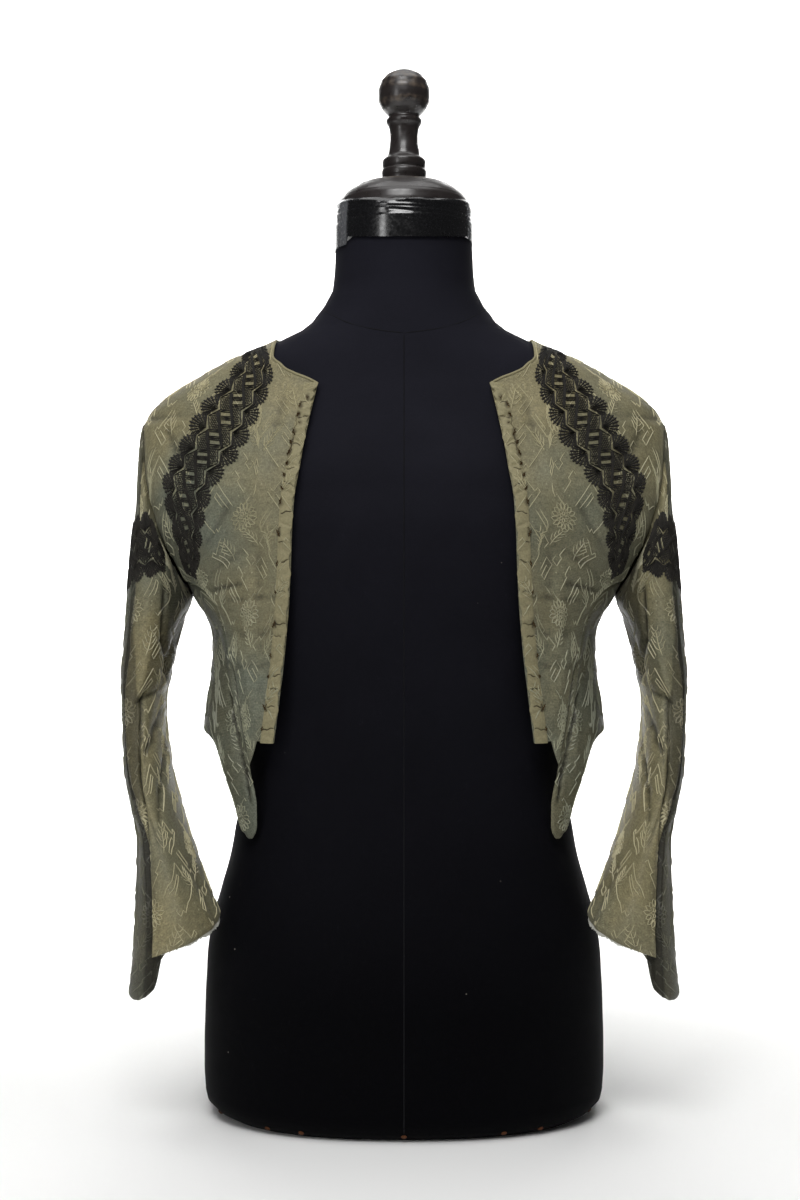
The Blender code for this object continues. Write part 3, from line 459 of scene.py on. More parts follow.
# Cap and finial: beech turned on a lathe and lacquered black, the cap a low dome on the
# neck, the finial a knob on a waisted stem that is screwed into it.
CAP_TOP = 0.7850
WOOD_AROUND = 64
WOOD_FINER = 6
WOOD_GAP = 0.0003
WORN_BULGE = 0.0011  # an edge that stands out by this is worn all along
CAP_PROFILE = table(
    "radius height",
    (0.0540, -0.0160),
    (0.0558, -0.0157),
    (0.0560, -0.0120),
    (0.0551, -0.0060),
    (0.0535, -0.0020),
    (0.0516, 0.0006),
    (0.0488, 0.0034),
    (0.0448, 0.0063),
    (0.0412, 0.0086),
    (0.0360, 0.0110),
    (0.0240, 0.0130),
    (0.0150, 0.0136),
)
FINIAL_PROFILE = table(
    "radius height",
    (0.0150, 0.0000),
    (0.0176, 0.0001),
    (0.0184, 0.0028),
    (0.0191, 0.0068),
    (0.0187, 0.0095),
    (0.0177, 0.0108),
    (0.0184, 0.0132),
    (0.0185, 0.0158),
    (0.0178, 0.0184),
    (0.0160, 0.0198),
    (0.0146, 0.0212),
    (0.0128, 0.0282),
    (0.0119, 0.0370),
    (0.0124, 0.0430),
    (0.0136, 0.0474),
    (0.0150, 0.0500),
    (0.0152, 0.0520),
    (0.0136, 0.0542),
    (0.0134, 0.0556),
    (0.0160, 0.0588),
    (0.0198, 0.0640),
    (0.0217, 0.0700),
    (0.0219, 0.0756),
    (0.0205, 0.0822),
    (0.0172, 0.0878),
    (0.0116, 0.0922),
    (0.0050, 0.0946),
    (0.0008, 0.0950),
)

# Black lacquer on beech, brushed: soft gloss with fine rings from the lathe, rubbed
# through to brown on the edges and in small chips.
RING_MM = 1.6
WAVE_UNIT = math.tau / 20  # at scale 1 the node draws 20 bands to a full turn
CHIP_MM = 6.0
lacquered_beech, tree, shader = start_material(
    "black lacquered beech, turned", Coat_Weight=0.25, Coat_Roughness=0.2
)
place = node(tree, "ShaderNodeTexCoord").outputs["Object"]
wear = node(tree, "ShaderNodeAttribute", attribute_name="wear").outputs["Fac"]
chips = node(
    tree, "ShaderNodeTexNoise", {"Vector": place, "Scale": 1000 / CHIP_MM, "Detail": 6.0}
).outputs["Fac"]
worn_edge = node(
    tree, "ShaderNodeMath", {0: chips, 1: wear, 2: -0.42}, operation="MULTIPLY_ADD"
).outputs[0]
bared = node(
    tree, "ShaderNodeMapRange", {"Value": worn_edge, "From Max": 0.25, "To Max": 0.8}
).outputs["Result"]
wood = node(
    tree, "ShaderNodeMix", {0: bared, 6: linear("#262120"), 7: linear("#5d5145")}, data_type="RGBA"
).outputs[2]
turned_rings = node(
    tree,
    "ShaderNodeTexWave",
    {"Vector": place, "Scale": WAVE_UNIT * 1000 / RING_MM, "Distortion": 2.0, "Detail": 2.0},
    bands_direction="Z",
).outputs["Fac"]
grooved = node(
    tree, "ShaderNodeBump", {"Height": turned_rings, "Strength": 0.12, "Distance": 0.0002}
).outputs["Normal"]
gloss = node(
    tree,
    "ShaderNodeMapRange",
    {"Value": chips, "From Min": 0.3, "From Max": 0.7, "To Min": 0.24, "To Max": 0.46},
).outputs["Result"]
wire(tree, shader, Base_Color=wood, Roughness=gloss, Normal=grooved)


def turned(name, profile, foot, replaced):
    """A turned piece: its profile swept round the upright axis, with wear on the edges that stand out."""
    knots = np.arange(len(profile["radius"]), dtype=float)
    at = np.linspace(0.0, knots[-1], WOOD_FINER * (len(knots) - 1) + 1)
    radius, height = (smooth(at, knots, profile[k]) for k in ("radius", "height"))
    angle = np.linspace(0.0, math.tau, WOOD_AROUND, endpoint=False)
    rings = np.stack(
        [
            radius[:, None] * np.cos(angle),
            radius[:, None] * np.sin(angle),
            foot + height[:, None] + 0 * angle,
        ],
        axis=-1,
    )
    bulge = np.zeros(len(at))
    bulge[WOOD_FINER:-WOOD_FINER] = (
        radius[WOOD_FINER:-WOOD_FINER] - (radius[: -2 * WOOD_FINER] + radius[2 * WOOD_FINER :]) / 2
    )
    wear = np.repeat(np.clip(bulge / WORN_BULGE, 0.0, 1.0), WOOD_AROUND)
    piece = add_piece(
        name, rings.reshape(-1, 3), closed_loft(rings), [lacquered_beech], marks={"wear": wear}
    )
    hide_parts(replaced)


turned("turned_cap", CAP_PROFILE, BAND_TOP + WOOD_GAP, "form_neck_cap")
turned("turned_finial", FINIAL_PROFILE, CAP_TOP + WOOD_GAP, "form_finial")

# Tacks along the base: small domed tacks, stamped from sheet steel and rusted, which pin
# the cover down just above the rim.
TACK_RADIUS = 0.0024
TACK_TURNS = (-157, -121, -88, -52, -21, 14, 49, 63, 90, 118, 131, 163)
TACK_HEIGHT = 0.0052
TACK_SLOPES = (-20, 10, 40, 65, 85)
TACK_SIDES = 14
TACK_DOME = 0.45  # rise of the head for its radius
RUST_MM = 1.1111
rusted_steel, tree, shader = start_material("rusted steel, stamped", Metallic=0.6, Roughness=0.62)
place = node(tree, "ShaderNodeTexCoord").outputs["Object"]
rust = node(
    tree, "ShaderNodeTexNoise", {"Vector": place, "Scale": 1000 / RUST_MM, "Detail": 4.0}
).outputs["Fac"]
rusted = node(
    tree, "ShaderNodeMix", {0: rust, 6: linear("#2b1a10"), 7: linear("#7d4a26")}, data_type="RGBA"
).outputs[2]
wire(tree, shader, Base_Color=rusted)

tack_points = []
for turn in TACK_TURNS:
    angle = np.array(math.radians(turn))
    middle = form_plain(angle, np.array(TACK_HEIGHT))
    out = normal_of(form_plain, angle, np.array(TACK_HEIGHT))
    aside = unit(np.cross(out, (0.0, 0.0, 1.0)))
    up = np.cross(aside, out)
    for slope in np.radians(TACK_SLOPES):
        for way in np.linspace(0.0, math.tau, TACK_SIDES, endpoint=False):
            across = aside * math.cos(way) + up * math.sin(way)
            rise = TACK_DOME * out * math.sin(slope)
            tack_points.append(middle + TACK_RADIUS * (across * math.cos(slope) + rise))
tack_rings = np.array(tack_points).reshape(len(TACK_TURNS), len(TACK_SLOPES), TACK_SIDES, 3)
tack_heads = gathered((rings.reshape(-1, 3), closed_loft(rings)) for rings in tack_rings)
add_piece("base_tacks", *tack_heads, [rusted_steel])


# Fronts of the jacket: figured silk on a thin cotton lining, cut from the neck to the
# hip and open down the middle, seamed at the shoulder, armhole and side.
CLOTH = 0.0015
SEAM = 0.0003
FINER = 7  # points for each step between the cut's own points
# Steps along the edges of the cut
HOLE_STEPS = 10
SEAM_STEPS = 8
NECK_STEPS = 6
SHOULDER_STEPS = 5
HEM_STEPS = 8
NOTCH_STEPS = 3
UNDERARM = (150, 210)  # turns round the armhole between which the side panel meets it
CURVE_STEPS = 400
BODY = table(
    "height half_width front back square_front square_back",
    (0.2250, 0.1540, 0.1050, 0.1000, 2.2, 2.2),
    (0.2600, 0.1590, 0.1080, 0.1020, 2.2, 2.2),
    (0.3180, 0.1690, 0.1150, 0.1040, 2.2, 2.2),
    (0.3870, 0.1625, 0.1200, 0.1070, 2.2, 2.2),
    (0.4350, 0.1785, 0.1265, 0.1130, 2.1, 2.2),
    (0.4510, 0.1910, 0.1275, 0.1150, 2.0, 2.2),
    (0.4760, 0.2120, 0.1275, 0.1170, 1.9, 2.2),
    (0.5010, 0.2260, 0.1250, 0.1180, 1.9, 2.2),
    (0.5410, 0.2360, 0.1110, 0.1140, 1.9, 2.1),
    (0.5710, 0.2300, 0.0960, 0.1050, 2.0, 2.1),
    (0.5810, 0.2185, 0.0910, 0.1010, 2.1, 2.1),
    (0.5890, 0.2142, 0.0870, 0.0985, 2.1, 2.1),
    (0.5960, 0.2070, 0.0835, 0.0960, 2.1, 2.1),
    (0.6050, 0.1955, 0.0795, 0.0920, 2.1, 2.1),
    (0.6145, 0.1800, 0.0760, 0.0875, 2.1, 2.1),
    (0.6255, 0.1615, 0.0730, 0.0825, 2.1, 2.1),
    (0.6350, 0.1424, 0.0710, 0.0785, 2.1, 2.1),
    (0.6420, 0.1246, 0.0695, 0.0755, 2.1, 2.1),
    (0.6530, 0.1024, 0.0670, 0.0715, 2.1, 2.1),
    (0.6595, 0.0900, 0.0655, 0.0690, 2.1, 2.1),
    (0.6685, 0.0800, 0.0640, 0.0668, 2.0, 2.0),
    (0.6780, 0.0735, 0.0630, 0.0650, 2.0, 2.0),
)
FRONT_EDGE = table(
    "x height",
    (0.1045, 0.3155),
    (0.0990, 0.3570),
    (0.0940, 0.4000),
    (0.0902, 0.4466),
    (0.0877, 0.5000),
    (0.0830, 0.5360),
    (0.0760, 0.5770),
    (0.0700, 0.6055),
)
FRONT_NECK = table(
    "x height",
    (0.0700, 0.6055),
    (0.0800, 0.6110),
    (0.0905, 0.6155),
    (0.1015, 0.6235),
    (0.1085, 0.6340),
)
NECK_POINT = 0.6500
FRONT_HEM = table("x height", (0.1045, 0.3155), (0.1120, 0.3165), (0.1190, 0.3165))
FRONT_NOTCH = table("x height", (0.1190, 0.3165), (0.1225, 0.3050), (0.1265, 0.2954))
SIDE_SEAM = table(
    "x height",
    (0.1265, 0.2954),
    (0.1335, 0.3150),
    (0.1380, 0.3417),
    (0.1437, 0.3740),
    (0.1475, 0.4000),
    (0.1520, 0.4185),
    (0.1605, 0.4325),
    (0.1720, 0.4410),
)
ARMHOLE_TOP = 0.5810
ARMHOLE_BOTTOM = 0.4350
ARMHOLE = table(
    "height x",
    (0.4350, 0.1785),
    (0.4390, 0.1800),
    (0.4510, 0.1865),
    (0.4650, 0.1935),
    (0.4760, 0.1990),
    (0.5010, 0.2070),
    (0.5175, 0.2110),
    (0.5410, 0.2150),
    (0.5650, 0.2170),
    (0.5810, 0.2190),
)
# Creases seen from the front: two ends, depth (a ridge if below 0) and half width
BODY_CREASES = table(
    "x_top z_top x_low z_low depth spread",
    (0.1560, 0.4200, 0.1290, 0.2600, 0.0022, 0.0085),
    (0.1680, 0.4150, 0.1480, 0.3250, 0.0026, 0.0090),
    (0.0920, 0.4335, 0.1520, 0.4290, 0.0010, 0.0034),
    (0.0940, 0.4050, 0.1470, 0.4005, 0.0006, 0.0034),
    (0.0990, 0.3790, 0.1430, 0.3750, 0.0008, 0.0034),
    (0.1160, 0.4900, 0.1140, 0.3850, 0.0016, 0.0065),
    (0.1360, 0.4050, 0.1180, 0.3300, -0.0018, 0.0050),
    (0.1260, 0.4600, 0.1240, 0.3700, -0.0013, 0.0050),
    (0.1740, 0.4540, 0.1390, 0.5060, 0.0020, 0.0042),
    (0.1680, 0.4440, 0.1190, 0.4760, 0.0018, 0.0046),
    (0.1600, 0.4360, 0.1280, 0.4440, 0.0014, 0.0034),
    (0.1030, 0.5700, 0.1290, 0.4950, -0.0014, 0.0060),
    (0.0960, 0.5950, 0.1120, 0.5420, 0.0012, 0.0046),
    (0.1960, 0.5750, 0.1780, 0.5350, 0.0014, 0.0050),
    (0.1420, 0.3814, 0.1256, 0.2780, 0.0038, 0.0019),
    (0.1450, 0.3560, 0.1246, 0.2640, 0.0034, 0.0017),
    (0.1440, 0.3500, 0.1395, 0.2850, -0.0014, 0.0032),
    (0.1500, 0.3950, 0.1440, 0.3350, 0.0014, 0.0026),
    (0.1570, 0.4080, 0.1500, 0.3700, 0.0012, 0.0022),
)
FOLD_FADE = 0.3


def turn_of(x, height, back=False):
    """Turn on the jacket body at a distance from the middle, less than 0 at the back."""
    half = smooth(height, BODY["height"], BODY["half_width"])
    square = smooth(height, BODY["height"], BODY["square_back" if back else "square_front"])
    turn = np.arccos(np.clip(np.abs(x) / half, 0.0, 1.0) ** (square / 2))
    turn = np.where(x < 0, math.pi - turn, turn)
    return -turn if back else turn


def body_plain(turn, height):
    """Point of the jacket body without creases."""
    return oval(BODY, turn, height)


def body_surface(turn, height, creases=BODY_CREASES, facing=1):
    """Outer face of the jacket body with its creases, and its outward direction."""
    points = body_plain(turn, height)
    out = normal_of(body_plain, turn, height)
    seen = np.stack([points[..., 0], height + 0 * turn], axis=-1)
    ends = np.array([[creases["x_top"], creases["z_top"]], [creases["x_low"], creases["z_low"]]])
    sink = sinking(seen, ends.transpose(2, 0, 1), creases)
    sink = sink * np.clip(facing * np.sin(turn) / FOLD_FADE, 0.0, 1.0)
    return points - out * sink[..., None], out


def spaced(line, shares, extra=()):
    """Points at these shares of an outline's length, measured on the body."""
    points = np.vstack([np.column_stack([line["x"], line["height"]]), *extra])
    rows = np.concatenate([[0.0], np.cumsum(np.linalg.norm(np.diff(points, axis=0), axis=1))])
    fine = np.column_stack([smooth(even(CURVE_STEPS) * rows[-1], rows, points[:, k]) for k in (0, 1)])
    run = body_plain(turn_of(fine[:, 0], fine[:, 1]), fine[:, 1])
    length = np.concatenate([[0.0], np.cumsum(np.linalg.norm(np.diff(run, axis=0), axis=1))])
    return np.column_stack([np.interp(shares * length[-1], length, fine[:, k]) for k in (0, 1)])


def armhole_line(degrees):
    """Armhole seen from the front: 0 is the shoulder tip, 90 its front, 180 underarm, 270 its back."""
    angle = np.radians(np.asarray(degrees, float))
    middle = (ARMHOLE_TOP + ARMHOLE_BOTTOM) / 2
    height = middle + (ARMHOLE_TOP - ARMHOLE_BOTTOM) / 2 * np.cos(angle)
    half = smooth(height, BODY["height"], BODY["half_width"])
    return np.column_stack([np.minimum(smooth(height, ARMHOLE["height"], ARMHOLE["x"]), half), height])


def patch(bottom, top, inner, outer, shares):
    """Fill between four border lines that meet at the corners, with rows at these shares of the height."""
    u = even(len(bottom) - 1)[:, None, None]
    v = shares[None, :, None]
    rows = (1 - v) * bottom[:, None] + v * top[:, None]
    lines = (1 - u) * inner[None] + u * outer[None]
    low = (1 - u) * bottom[0] + u * bottom[-1]
    high = (1 - u) * top[0] + u * top[-1]
    return rows + lines - (1 - v) * low - v * high


def lengths(points, axis):
    """Length along the lines of a grid, from its first line."""
    steps = np.linalg.norm(np.diff(points, axis=axis), axis=-1)
    first = np.zeros_like(np.take(points[..., 0], [0], axis=axis))
    return np.concatenate([first, np.cumsum(steps, axis=axis)], axis=axis)


# Figured silk, woven: soft sheen, fine weft ribs and a crepe ground. It runs from brown at the
# chest to a darker grey at the sides, partly a real shift of colour and partly painted shade,
# and sharp folds get painted shade. The ribs are drawn at 1.3 mm so that they show.
RIB_MM = 1.3
CREPE_MM = 1.5
CRINKLE_MM = 4.5
SLUB_MM = 7.0
STAIN_MM = 55.0
CLOUD_MM = 90.0
silk, tree, shader = start_material(
    "olive silk, figured weave",
    Sheen_Weight=0.06,
    Sheen_Roughness=0.4,
    Specular_IOR_Level=0.3,
)
cut_place = node(tree, "ShaderNodeUVMap", uv_map="cut").outputs["UV"]
place = node(tree, "ShaderNodeTexCoord").outputs["Object"]
shade = node(tree, "ShaderNodeAttribute", attribute_name="shade").outputs["Fac"]
clouds = node(
    tree, "ShaderNodeTexNoise", {"Vector": place, "Scale": 1000 / CLOUD_MM, "Detail": 3.0}
).outputs["Fac"]
cloud = node(
    tree,
    "ShaderNodeMapRange",
    {"Value": clouds, "From Min": 0.38, "From Max": 0.62, "To Min": -0.25, "To Max": 0.45},
).outputs["Result"]
# The tone runs from brown to a darker grey-green: partly a real shift of colour, partly painted shade where
# the light falls off.
tint = node(tree, "ShaderNodeMath", {0: shade, 1: cloud}, operation="ADD", use_clamp=True).outputs[0]
toned = node(
    tree, "ShaderNodeMix", {0: tint, 6: linear("#857d5d"), 7: linear("#686c5e")}, data_type="RGBA"
).outputs[2]
stains = node(
    tree, "ShaderNodeTexNoise", {"Vector": place, "Scale": 1000 / STAIN_MM, "Detail": 5.0}
).outputs["Fac"]
stained = node(
    tree, "ShaderNodeMapRange", {"Value": stains, "From Min": 0.35, "From Max": 0.68, "To Max": 0.55}
).outputs["Result"]
aged = node(
    tree, "ShaderNodeMix", {0: stained, 6: toned, 7: linear("#69644b")}, data_type="RGBA"
).outputs[2]
slubs = node(tree, "ShaderNodeTexVoronoi", {"Vector": cut_place, "Scale": 1000 / SLUB_MM})
slub = node(
    tree,
    "ShaderNodeMapRange",
    {"Value": slubs.outputs["Distance"], "From Min": 0.13, "From Max": 0.05, "To Max": 0.55},
).outputs["Result"]
slubbed = node(
    tree, "ShaderNodeMix", {0: slub, 6: aged, 7: linear("#aaa588")}, data_type="RGBA"
).outputs[2]
# Painted shade: folds and the parts turned from the light are darkened towards near black.
painted_shade = node(tree, "ShaderNodeAttribute", attribute_name="painted_shade").outputs["Fac"]
fold_shaded = node(
    tree, "ShaderNodeMix", {0: painted_shade, 6: slubbed, 7: linear("#1c1a11")}, data_type="RGBA"
).outputs[2]
crepe = node(
    tree, "ShaderNodeTexNoise", {"Vector": cut_place, "Scale": 1000 / CREPE_MM, "Detail": 2.0}
).outputs["Fac"]
ribs = node(
    tree,
    "ShaderNodeTexWave",
    {"Vector": cut_place, "Scale": WAVE_UNIT * 1000 / RIB_MM, "Distortion": 1.5, "Detail": 1.0},
    bands_direction="Y",
).outputs["Fac"]
speckled = node(
    tree,
    "ShaderNodeMapRange",
    {"Value": crepe, "From Min": 0.3, "From Max": 0.7, "To Min": 0.70, "To Max": 1.24},
).outputs["Result"]
crinkle = node(
    tree, "ShaderNodeTexNoise", {"Vector": cut_place, "Scale": 1000 / CRINKLE_MM, "Detail": 4.0}
).outputs["Fac"]
mottled = node(
    tree,
    "ShaderNodeMapRange",
    {"Value": crinkle, "From Min": 0.3, "From Max": 0.7, "To Min": 0.82, "To Max": 1.18},
).outputs["Result"]
depth = node(tree, "ShaderNodeMath", {0: speckled, 1: mottled}, operation="MULTIPLY").outputs[0]
ground = node(tree, "ShaderNodeVectorMath", {0: fold_shaded, "Scale": depth}, operation="SCALE")
weave = node(tree, "ShaderNodeMath", {0: ribs, 1: crepe}, operation="ADD").outputs[0]
crushed = node(
    tree, "ShaderNodeBump", {"Height": crinkle, "Strength": 0.5, "Distance": 0.0012}
).outputs["Normal"]
ribbed = node(
    tree, "ShaderNodeBump", {"Height": weave, "Strength": 0.45, "Distance": 0.00030, "Normal": crushed}
).outputs["Normal"]
gloss = node(
    tree, "ShaderNodeMapRange", {"Value": ribs, "To Min": 0.52, "To Max": 0.66}
).outputs["Result"]
wire(tree, shader, Base_Color=ground.outputs["Vector"], Roughness=gloss, Normal=ribbed)

# Raised weft of the figure: glossier floats of the same silk, a little lighter, with a painted shadow on the
# lower side of each and painted shade in the folds.
figure_silk, tree, shader = start_material(
    "olive silk, raised weft floats", Sheen_Weight=0.1, Specular_IOR_Level=0.4, Roughness=0.48
)
shade = node(tree, "ShaderNodeAttribute", attribute_name="shade").outputs["Fac"]
floats = node(
    tree, "ShaderNodeMix", {0: shade, 6: linear("#b5ad8a"), 7: linear("#888b76")}, data_type="RGBA"
).outputs[2]
# Painted shade: the floats darken with the painted shade of the folds and with a painted shadow on their
# lower side.
painted_shade = node(tree, "ShaderNodeAttribute", attribute_name="painted_shade").outputs["Fac"]
float_shaded = node(
    tree, "ShaderNodeMix", {0: painted_shade, 6: floats, 7: linear("#26241a")}, data_type="RGBA"
).outputs[2]
wire(tree, shader, Base_Color=float_shaded)

# Cotton lining, plain woven and browned with age: matte.
lining_cotton, tree, shader = start_material(
    "brown cotton lining, plain woven", Roughness=0.85, Specular_IOR_Level=0.2
)
place = node(tree, "ShaderNodeTexCoord").outputs["Object"]
weave = node(tree, "ShaderNodeTexNoise", {"Vector": place, "Scale": 1000 / CREPE_MM}).outputs["Fac"]
browned = node(
    tree, "ShaderNodeMix", {0: weave, 6: linear("#4d4938"), 7: linear("#6a6551")}, data_type="RGBA"
).outputs[2]
wire(tree, shader, Base_Color=browned)

# Woven figure: lightning frets, chrysanthemums and fern sprays, a traditional set, in a
# half-drop repeat. Runs of a fret go up or down to the right (U, D) or left (d, u), in mm.
REPEAT = (0.070, 0.084)
FLOAT_WIDTH = 0.0012
FLOAT_HEIGHT = 0.0006
FLOAT_SHADOW = 0.95
SHADOW_SIDE = (0.5, 0.0, -0.87)
FLOAT_STEP = 0.0034
RUN = {"U": (0.62, 0.785), "D": (0.62, -0.785), "u": (-0.62, -0.785), "d": (-0.62, 0.785)}
FRETS = (
    (0.0120, 0.0100, "U28 D23 U3.5 D4 u27 d4 u4 d6"),
    (0.0165, 0.0085, "U19 D3.5 u13 d2"),
    (0.0360, 0.0415, "D27 U3.5 D9 u6"),
    (0.0405, 0.0420, "D17 u3"),
    (0.0520, -0.0060, "U13 D8 u15 d4.5 U10 D3"),
    (0.0240, -0.0130, "D19 U4 D4 u21 d5 U13 D2.5"),
    (0.0215, -0.0180, "D12 u3.5 D3"),
    (0.0560, -0.0190, "D10 U3 D12 u4"),
    (0.0080, -0.0290, "u9 D3.5 u8 d6 U5"),
    (0.0010, 0.0190, "U14 d3 U9 D4"),
)
PETALS = table("count inner outer half_width", (7, 0.0010, 0.0048, 0.0010), (15, 0.0046, 0.0128, 0.0014))
FLOWER_AT = (0.0, 0.0)
UNEVEN = 0.14  # share by which the petals differ in length
UNEVEN_TURN = 2.4
PETAL_LEAN = 1.5  # how far out a petal is widest
PETAL_ROUND = 0.25
SPRAYS = table(
    "x y turn length",
    (0.0180, -0.0390, 75, 0.0210),
    (0.0480, 0.0080, 118, 0.0190),
    (0.0620, 0.0140, 60, 0.0170),
)
LEAFLETS = 4
LEAF_SPAN = (0.2, 0.75)  # share of the stem below the first leaflet, and from there to the last
LEAF_LENGTH = 0.42
LEAF_SHORTER = 0.055
LEAF_BEND = (0.35, 0.6)  # way along the stem and aside, to the bend and to the tip
LEAF_TIP = (0.9, 0.75)
BEND_AT = 0.6
FIND_REACH = 0.003


def fret_line(x, y, moves):
    """Corner points of a fret from its runs."""
    corners = [np.array([x, y])]
    for move in moves.split():
        corners.append(corners[-1] + np.array(RUN[move[0]]) * float(move[1:]) / 1000)
    return np.array(corners)


def petal(middle, angle, inner, outer, half_width):
    """Outline of one petal, from the heart out and back."""
    t = even(4)
    wide = half_width * np.sin(np.pi * t**PETAL_LEAN) + PETAL_ROUND * half_width * np.sin(np.pi * t)
    reach = inner + (outer - inner) * t
    loop = np.vstack([np.column_stack([reach, wide]), np.column_stack([reach, -wide])[::-1][1:]])
    turn = np.array([[math.cos(angle), math.sin(angle)], [-math.sin(angle), math.cos(angle)]])
    return np.asarray(middle) + loop @ turn


def spray(x, y, turn, length):
    """A fern spray: its stem and the leaflets on both sides."""
    angle = math.radians(turn)
    way = np.array([math.cos(angle), math.sin(angle)])
    aside = np.array([-way[1], way[0]])
    lines = [np.array([(x, y), (x, y) + way * length])]
    for k in range(LEAFLETS):
        foot = (x, y) + way * length * (LEAF_SPAN[0] + LEAF_SPAN[1] * k / (LEAFLETS - 1))
        reach = length * (LEAF_LENGTH - LEAF_SHORTER * k)
        for hand in (-1, 1):
            bend = (way * LEAF_BEND[0] + aside * hand * LEAF_BEND[1]) * reach * BEND_AT
            tip = (way * LEAF_TIP[0] + aside * hand * LEAF_TIP[1]) * reach
            lines.append(np.array([foot, foot + bend, foot + tip]))
    return lines


figure_lines = [fret_line(*fret) for fret in FRETS]
for count, inner, outer, half_width in zip(*PETALS.values()):
    for k in range(int(count)):
        reach = outer * (1 - UNEVEN * math.sin(UNEVEN_TURN * k) ** 2)
        figure_lines.append(petal(FLOWER_AT, math.tau * k / count, inner, reach, half_width))
for row in zip(*SPRAYS.values()):
    figure_lines += spray(*row)


def resampled(line, step):
    """A broken line with points no further apart than a step, its corners kept."""
    pieces = []
    for a, b in zip(line[:-1], line[1:]):
        count = max(1, math.ceil(np.linalg.norm(b - a) / step))
        pieces.append(a + (b - a) * even(count)[:-1, None])
    return np.vstack([*pieces, line[-1:]])


figure_lines = [resampled(line, FLOAT_STEP) for line in figure_lines]


def woven_figure(points, out, cut):
    """The figure's raised floats on one panel, laid out on its flat cut, with the place and the
    nearest point of the panel for each."""
    columns, rows = points.shape[:2]
    number = np.arange(columns * rows).reshape(columns, rows)
    a, b = number[:-1, :-1].ravel(), number[1:, :-1].ravel()
    c, d = number[1:, 1:].ravel(), number[:-1, 1:].ravel()
    corners = np.concatenate([np.stack([a, b, c], axis=1), np.stack([a, c, d], axis=1)])
    flat = [Vector((s, t, 0.0)) for s, t in cut.reshape(-1, 2)]
    solid = [Vector(point) for point in points.reshape(-1, 3)]
    ways = [Vector(way) for way in out.reshape(-1, 3)]
    tree = BVHTree.FromPolygons(flat, corners.tolist())
    low = np.floor(cut.reshape(-1, 2).min(axis=0) / REPEAT).astype(int) - 1
    high = np.ceil(cut.reshape(-1, 2).max(axis=0) / REPEAT).astype(int) + 1
    strips, places = [], []

    def close(run):
        if len(run) > 1:
            line, way, spot = (np.array(part) for part in zip(*run))
            strips.append(ribbon(line, unit(way), FLOAT_WIDTH, FLOAT_HEIGHT))
            places.append(np.repeat(spot, 3, axis=0))

    for column in range(low[0], high[0] + 1):
        for row in range(low[1], high[1] + 1):
            corner = np.array([column, row + column % 2 / 2]) * REPEAT
            for line in figure_lines:
                run = []
                for s, t in line + corner:
                    spot, _, face, off = tree.find_nearest((s, t, 0.0), FIND_REACH)
                    if spot is None or off > SEAM:
                        close(run)
                        run = []
                        continue
                    i, j, k = corners[face]
                    there = (flat[i], flat[j], flat[k])
                    run.append(
                        (
                            barycentric_transform(spot, *there, solid[i], solid[j], solid[k]),
                            barycentric_transform(spot, *there, ways[i], ways[j], ways[k]),
                            (s, t, i),
                        )
                    )
                close(run)
    return gathered(strips), np.concatenate(places)


def shell_faces(columns, rows):
    """Faces of a thin closed shell: outer face, lining face and the rims between them."""
    number = np.arange(columns * rows).reshape(columns, rows)
    quads = np.stack([number[:-1, :-1], number[1:, :-1], number[1:, 1:], number[:-1, 1:]], axis=-1)
    quads = quads.reshape(-1, 4)
    border = np.concatenate([number[:-1, 0], number[-1, :-1], number[:0:-1, -1], number[0, :0:-1]])
    after = np.roll(border, -1)
    depth = columns * rows
    rims = np.stack([after, border, border + depth, after + depth], axis=-1)
    faces = np.vstack([quads, quads[:, ::-1] + depth, rims]).tolist()
    slots = [0] * len(quads) + [1] * len(quads) + [0] * len(rims)
    return faces, slots


ROLL_WIDTH = 0.0034  # over this the cloth rolls into a seam or hem
ROLL_DEPTH = 0.0013
# Painted shade in folds: a point this far below the cloth round it, over this reach, is darkened by this
# share.
FOLD_REACH = 0.0042
FOLD_DEPTH = 0.0007
FOLD_SHADE = 0.85


def hollows(points, out):
    """How far each point of a grid lies below the points round it."""
    around = np.zeros_like(points)
    for axis in (0, 1):
        step = np.median(np.linalg.norm(np.diff(points, axis=axis), axis=-1))
        reach = max(1, round(FOLD_REACH / step))
        at = np.arange(points.shape[axis])
        for way in (-reach, reach):
            around += np.take(points, np.clip(at + way, 0, at[-1]), axis=axis) / 4
    return np.sum((around - points) * out, axis=-1)


